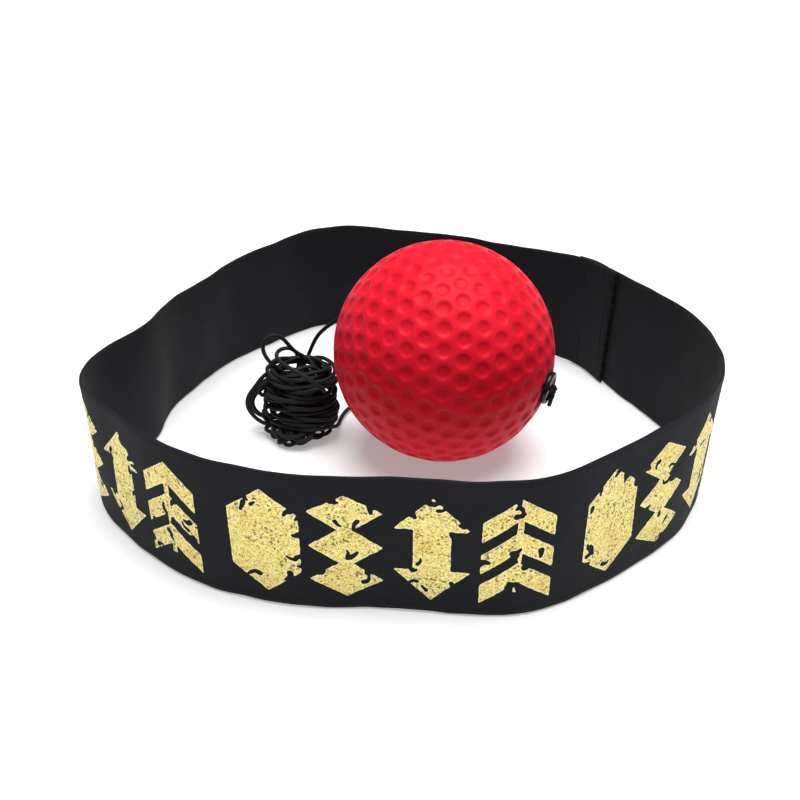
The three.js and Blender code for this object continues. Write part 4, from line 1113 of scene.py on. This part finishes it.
    walls = []
    for ring, sg in zip(rims, (1, -1)):
        ring.sort(key=ang)
        last = ring
        for r_in, dep in ((1.0, 0.5), (0.82, 1.4)):
            new = []
            for v in ring:
                a = ang(v)
                face = SEAT_AT if sg > 0 else BALL_RADIUS
                c = BORE_AXIS * sg * (face - dep) + (e1 * math.cos(a) + e2 * math.sin(a)) * r_in
                new.append(bm.verts.new(c.tolist()))
            for k in range(len(ring)):
                k1 = (k + 1) % len(ring)
                bm.faces.new((last[k], last[k1], new[k1], new[k]))
            last = new
        walls.append(last)
    a, b = walls
    for k in range(len(a)):
        k1 = (k + 1) % len(a)
        j = min(range(len(b)), key=lambda q: abs(math.remainder(ang(b[q]) - ang(a[k]), math.tau)))
        j1 = min(range(len(b)), key=lambda q: abs(math.remainder(ang(b[q]) - ang(a[k1]), math.tau)))
        try:
            bm.faces.new((a[k], a[k1], b[j1], b[j]) if j != j1 else (a[k], a[k1], b[j]))
        except ValueError:
            pass
    bmesh.ops.recalc_face_normals(bm, faces=bm.faces)
    bm.verts.ensure_lookup_table()
    # painted shade: this dimple weight, kept as the "pit" attribute, darkens the foam colour inside each dimple
    co = np.array([v.co[:] for v in bm.verts])
    unit = co / np.linalg.norm(co, axis=1)[:, None]
    near = np.arccos(np.clip((unit @ D.T).max(1), -1, 1)) * BALL_RADIUS
    dimple_shade_weight = pit_shape(near)
    me = bpy.data.meshes.new("foam_ball")
    bm.to_mesh(me)
    bm.free()
    at = me.attributes.new("pit", "FLOAT", "POINT")
    at.data.foreach_set("value", dimple_shade_weight.astype(np.float32))
    me.transform(Matrix.Translation(Vector(BALL_CENTRE.tolist())))
    me.transform(Matrix.Scale(MM, 4))
    me.polygons.foreach_set("use_smooth", [True] * len(me.polygons))
    me.update()
    ob = bpy.data.objects.new("foam_ball", me)
    scene.collection.objects.link(ob)
    ob.data.materials.append(FOAM)
    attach(ob, "ball")
    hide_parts("ball_foam")
    return ob


ball = foam_ball()


# ------------------------------------------------------------------ buttons, knots and the cord inside the ball

def lathe(name, profile, origin, axis, sides=72):
    """profile is (radius, distance along axis) in mm, closed on itself."""
    axis = np.asarray(axis, float)
    e1 = np.cross(axis, (0, 0, 1.0) if abs(axis[2]) < 0.9 else (1.0, 0, 0))
    e1 /= np.linalg.norm(e1)
    e2 = np.cross(axis, e1)
    verts, faces = [], []
    m = len(profile)
    for k in range(sides):
        a = 2 * math.pi * k / sides
        d = e1 * math.cos(a) + e2 * math.sin(a)
        for r, h in profile:
            verts.append(np.asarray(origin) + axis * h + d * r)
    for k in range(sides):
        k1 = (k + 1) % sides
        for i in range(m):
            i1 = (i + 1) % m
            faces.append((k * m + i, k * m + i1, k1 * m + i1, k1 * m + i))
    ob = new_object(name, verts, faces, crease_deg=None)
    b = bmesh.new()
    b.from_mesh(ob.data)
    bmesh.ops.recalc_face_normals(b, faces=b.faces)
    b.to_mesh(ob.data)
    b.free()
    ob.data.materials.append(PLASTIC)
    return ob


def button_profile(start):
    R, t = BUTTON_RADIUS, BUTTON_THICKNESS
    pts = [(1.0, start + 0.12), (1.12, start)]
    pts += [(R - 1.2, start), (R - 0.62, start + 0.02)]
    # round outer rim
    for a in np.linspace(-80, 80, 9):
        pts.append((R - 0.62 + 0.62 * math.cos(math.radians(a)), start + 0.78 + 0.78 * math.sin(math.radians(a))))
    pts += [(R - 0.85, start + t - 0.08), (R - 1.15, start + t - 0.30), (R - 1.6, start + t - 0.52), (R - 2.2, start + t - 0.60)]
    pts += [(1.6, start + t - 0.62), (1.16, start + t - 0.66), (1.02, start + t - 0.78)]
    return pts


stop = lathe("ball_stop_button", button_profile(BUTTON_FROM), BALL_CENTRE, BORE_AXIS)
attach(stop, "ball_stop")
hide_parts("ball_button")
band_stop = lathe("band_stop_button", button_profile(HALF_THICK + 0.3), HOLE_POINT, HOLE_NORMAL)
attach(band_stop, "band_stop")
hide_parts("band_button")


def knot(name, origin, axis, start, tail, body, node, stem):
    """A small overhand knot pulled up against the button, with its cut tail."""
    axis = np.asarray(axis, float)
    e1 = np.cross(axis, (0, 0, 1.0))
    e1 /= np.linalg.norm(e1)
    e2 = np.cross(axis, e1)
    t = np.linspace(0.35, 2 * np.pi - 0.05, 64)
    x, y, z = 0.33 * (np.sin(t) + 2 * np.sin(2 * t)), 0.33 * (np.cos(t) - 2 * np.cos(2 * t)), -0.42 * np.sin(3 * t)
    mid = start + 0.42 + 0.58
    loop = np.asarray(origin) + e1 * x[:, None] + e2 * y[:, None] + axis * (mid + z)[:, None]
    first = [np.asarray(origin) + axis * stem, np.asarray(origin) + axis * (start - 0.2)]
    end = [np.asarray(origin) + e1 * a + e2 * b + axis * c for a, b, c in tail]
    path = catmull(np.vstack([first, loop[::3], end]), 0.28)
    ob = tube(name, path, CORD_D / 2, 12)
    ob.data.materials.append(CORD)
    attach(ob, body)
    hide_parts(node)
    return ob


def down_in(axis):
    axis = np.asarray(axis, float)
    e1 = np.cross(axis, (0, 0, 1.0))
    e1 /= np.linalg.norm(e1)
    e2 = np.cross(axis, e1)
    d = np.array([0, 0, -1.0]) + axis * axis[2]
    d /= np.linalg.norm(d)
    return d @ e1, d @ e2


dx, dy = down_in(BORE_AXIS)
k0 = BUTTON_FROM + BUTTON_THICKNESS - 0.6 + 0.3
tail = [(dx * q + dy * w, dy * q - dx * w, k0 + h) for q, w, h in ((1.9, 0.2, 1.3), (3.0, 0.3, 1.15), (4.1, 0.4, 1.1), (5.0, 0.4, 1.0))]
knot("ball_end_cord_knot", BALL_CENTRE, BORE_AXIS, k0, tail, "tether_end", "ball_end_knot", k0 - 1.6)
inner = catmull([along_bore(-30.3), along_bore(-20.0), along_bore(0.0), along_bore(20.0), along_bore(k0 - 1.3)], 1.0)
through = tube("cord_through_ball", inner, CORD_D / 2, 12)
through.data.materials.append(CORD)
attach(through, "tether_end")
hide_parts("cord_in_ball")

k1 = HALF_THICK + 0.3 + BUTTON_THICKNESS - 0.6 + 0.3
tail = [(2.2, 0.5, k1 + 1.4), (3.9, 0.8, k1 + 1.45), (5.8, 1.1, k1 + 1.25), (7.4, 1.3, k1 + 0.95)]
knot("band_end_cord_knot", HOLE_POINT, HOLE_NORMAL, k1, tail, "headband", "band_end_knot", 0.4)


# ------------------------------------------------------------------ floor and light

floor_mat, ft, fp = material("studio_floor", Specular_IOR_Level=0.05)
fine = noise_tex(ft, place(ft), 3.0, 2.0)
ft.links.new(ramp(ft, fine, [(0.3, (0.595, 0.595, 0.597)), (0.7, (0.605, 0.605, 0.607))]), fp.inputs["Base Color"])
fp.inputs["Emission Color"].default_value = (1.0, 1.0, 1.0, 1.0)
fp.inputs["Emission Strength"].default_value = 0.30
fp.inputs["Roughness"].default_value = 0.9
half = 9.0
me = bpy.data.meshes.new("studio_floor")
me.from_pydata([(-half, -half, 0), (half, -half, 0), (half, half, 0), (-half, half, 0)], [], [(0, 1, 2, 3)])
floor = bpy.data.objects.new("studio_floor", me)
scene.collection.objects.link(floor)
floor.data.materials.append(floor_mat)
floor.location.z = -0.0002

world = bpy.data.worlds.new("studio")
scene.world = world
world.use_nodes = True
bg = world.node_tree.nodes["Background"]
bg.inputs[0].default_value = (1.0, 1.0, 1.0, 1.0)
bg.inputs[1].default_value = 0.22


def soft_sun(name, toward, spread_deg, power, color=(1, 1, 1)):
    """A very wide soft light; toward points from the object to the light."""
    d = bpy.data.lights.new(name, "SUN")
    d.energy = power
    d.angle = math.radians(spread_deg)
    d.color = color
    o = bpy.data.objects.new(name, d)
    scene.collection.objects.link(o)
    v = Vector(toward).normalized()
    o.location = v * 1.5
    o.rotation_euler = (-v).to_track_quat("-Z", "Y").to_euler()
    return o


soft_sun("overhead_light", (0.09, 0.00, 1.0), 50, 5.3)

scene.view_settings.view_transform = "Standard"
scene.view_settings.look = "None"
scene.view_settings.exposure = 0.0
scene.view_settings.gamma = 1.0
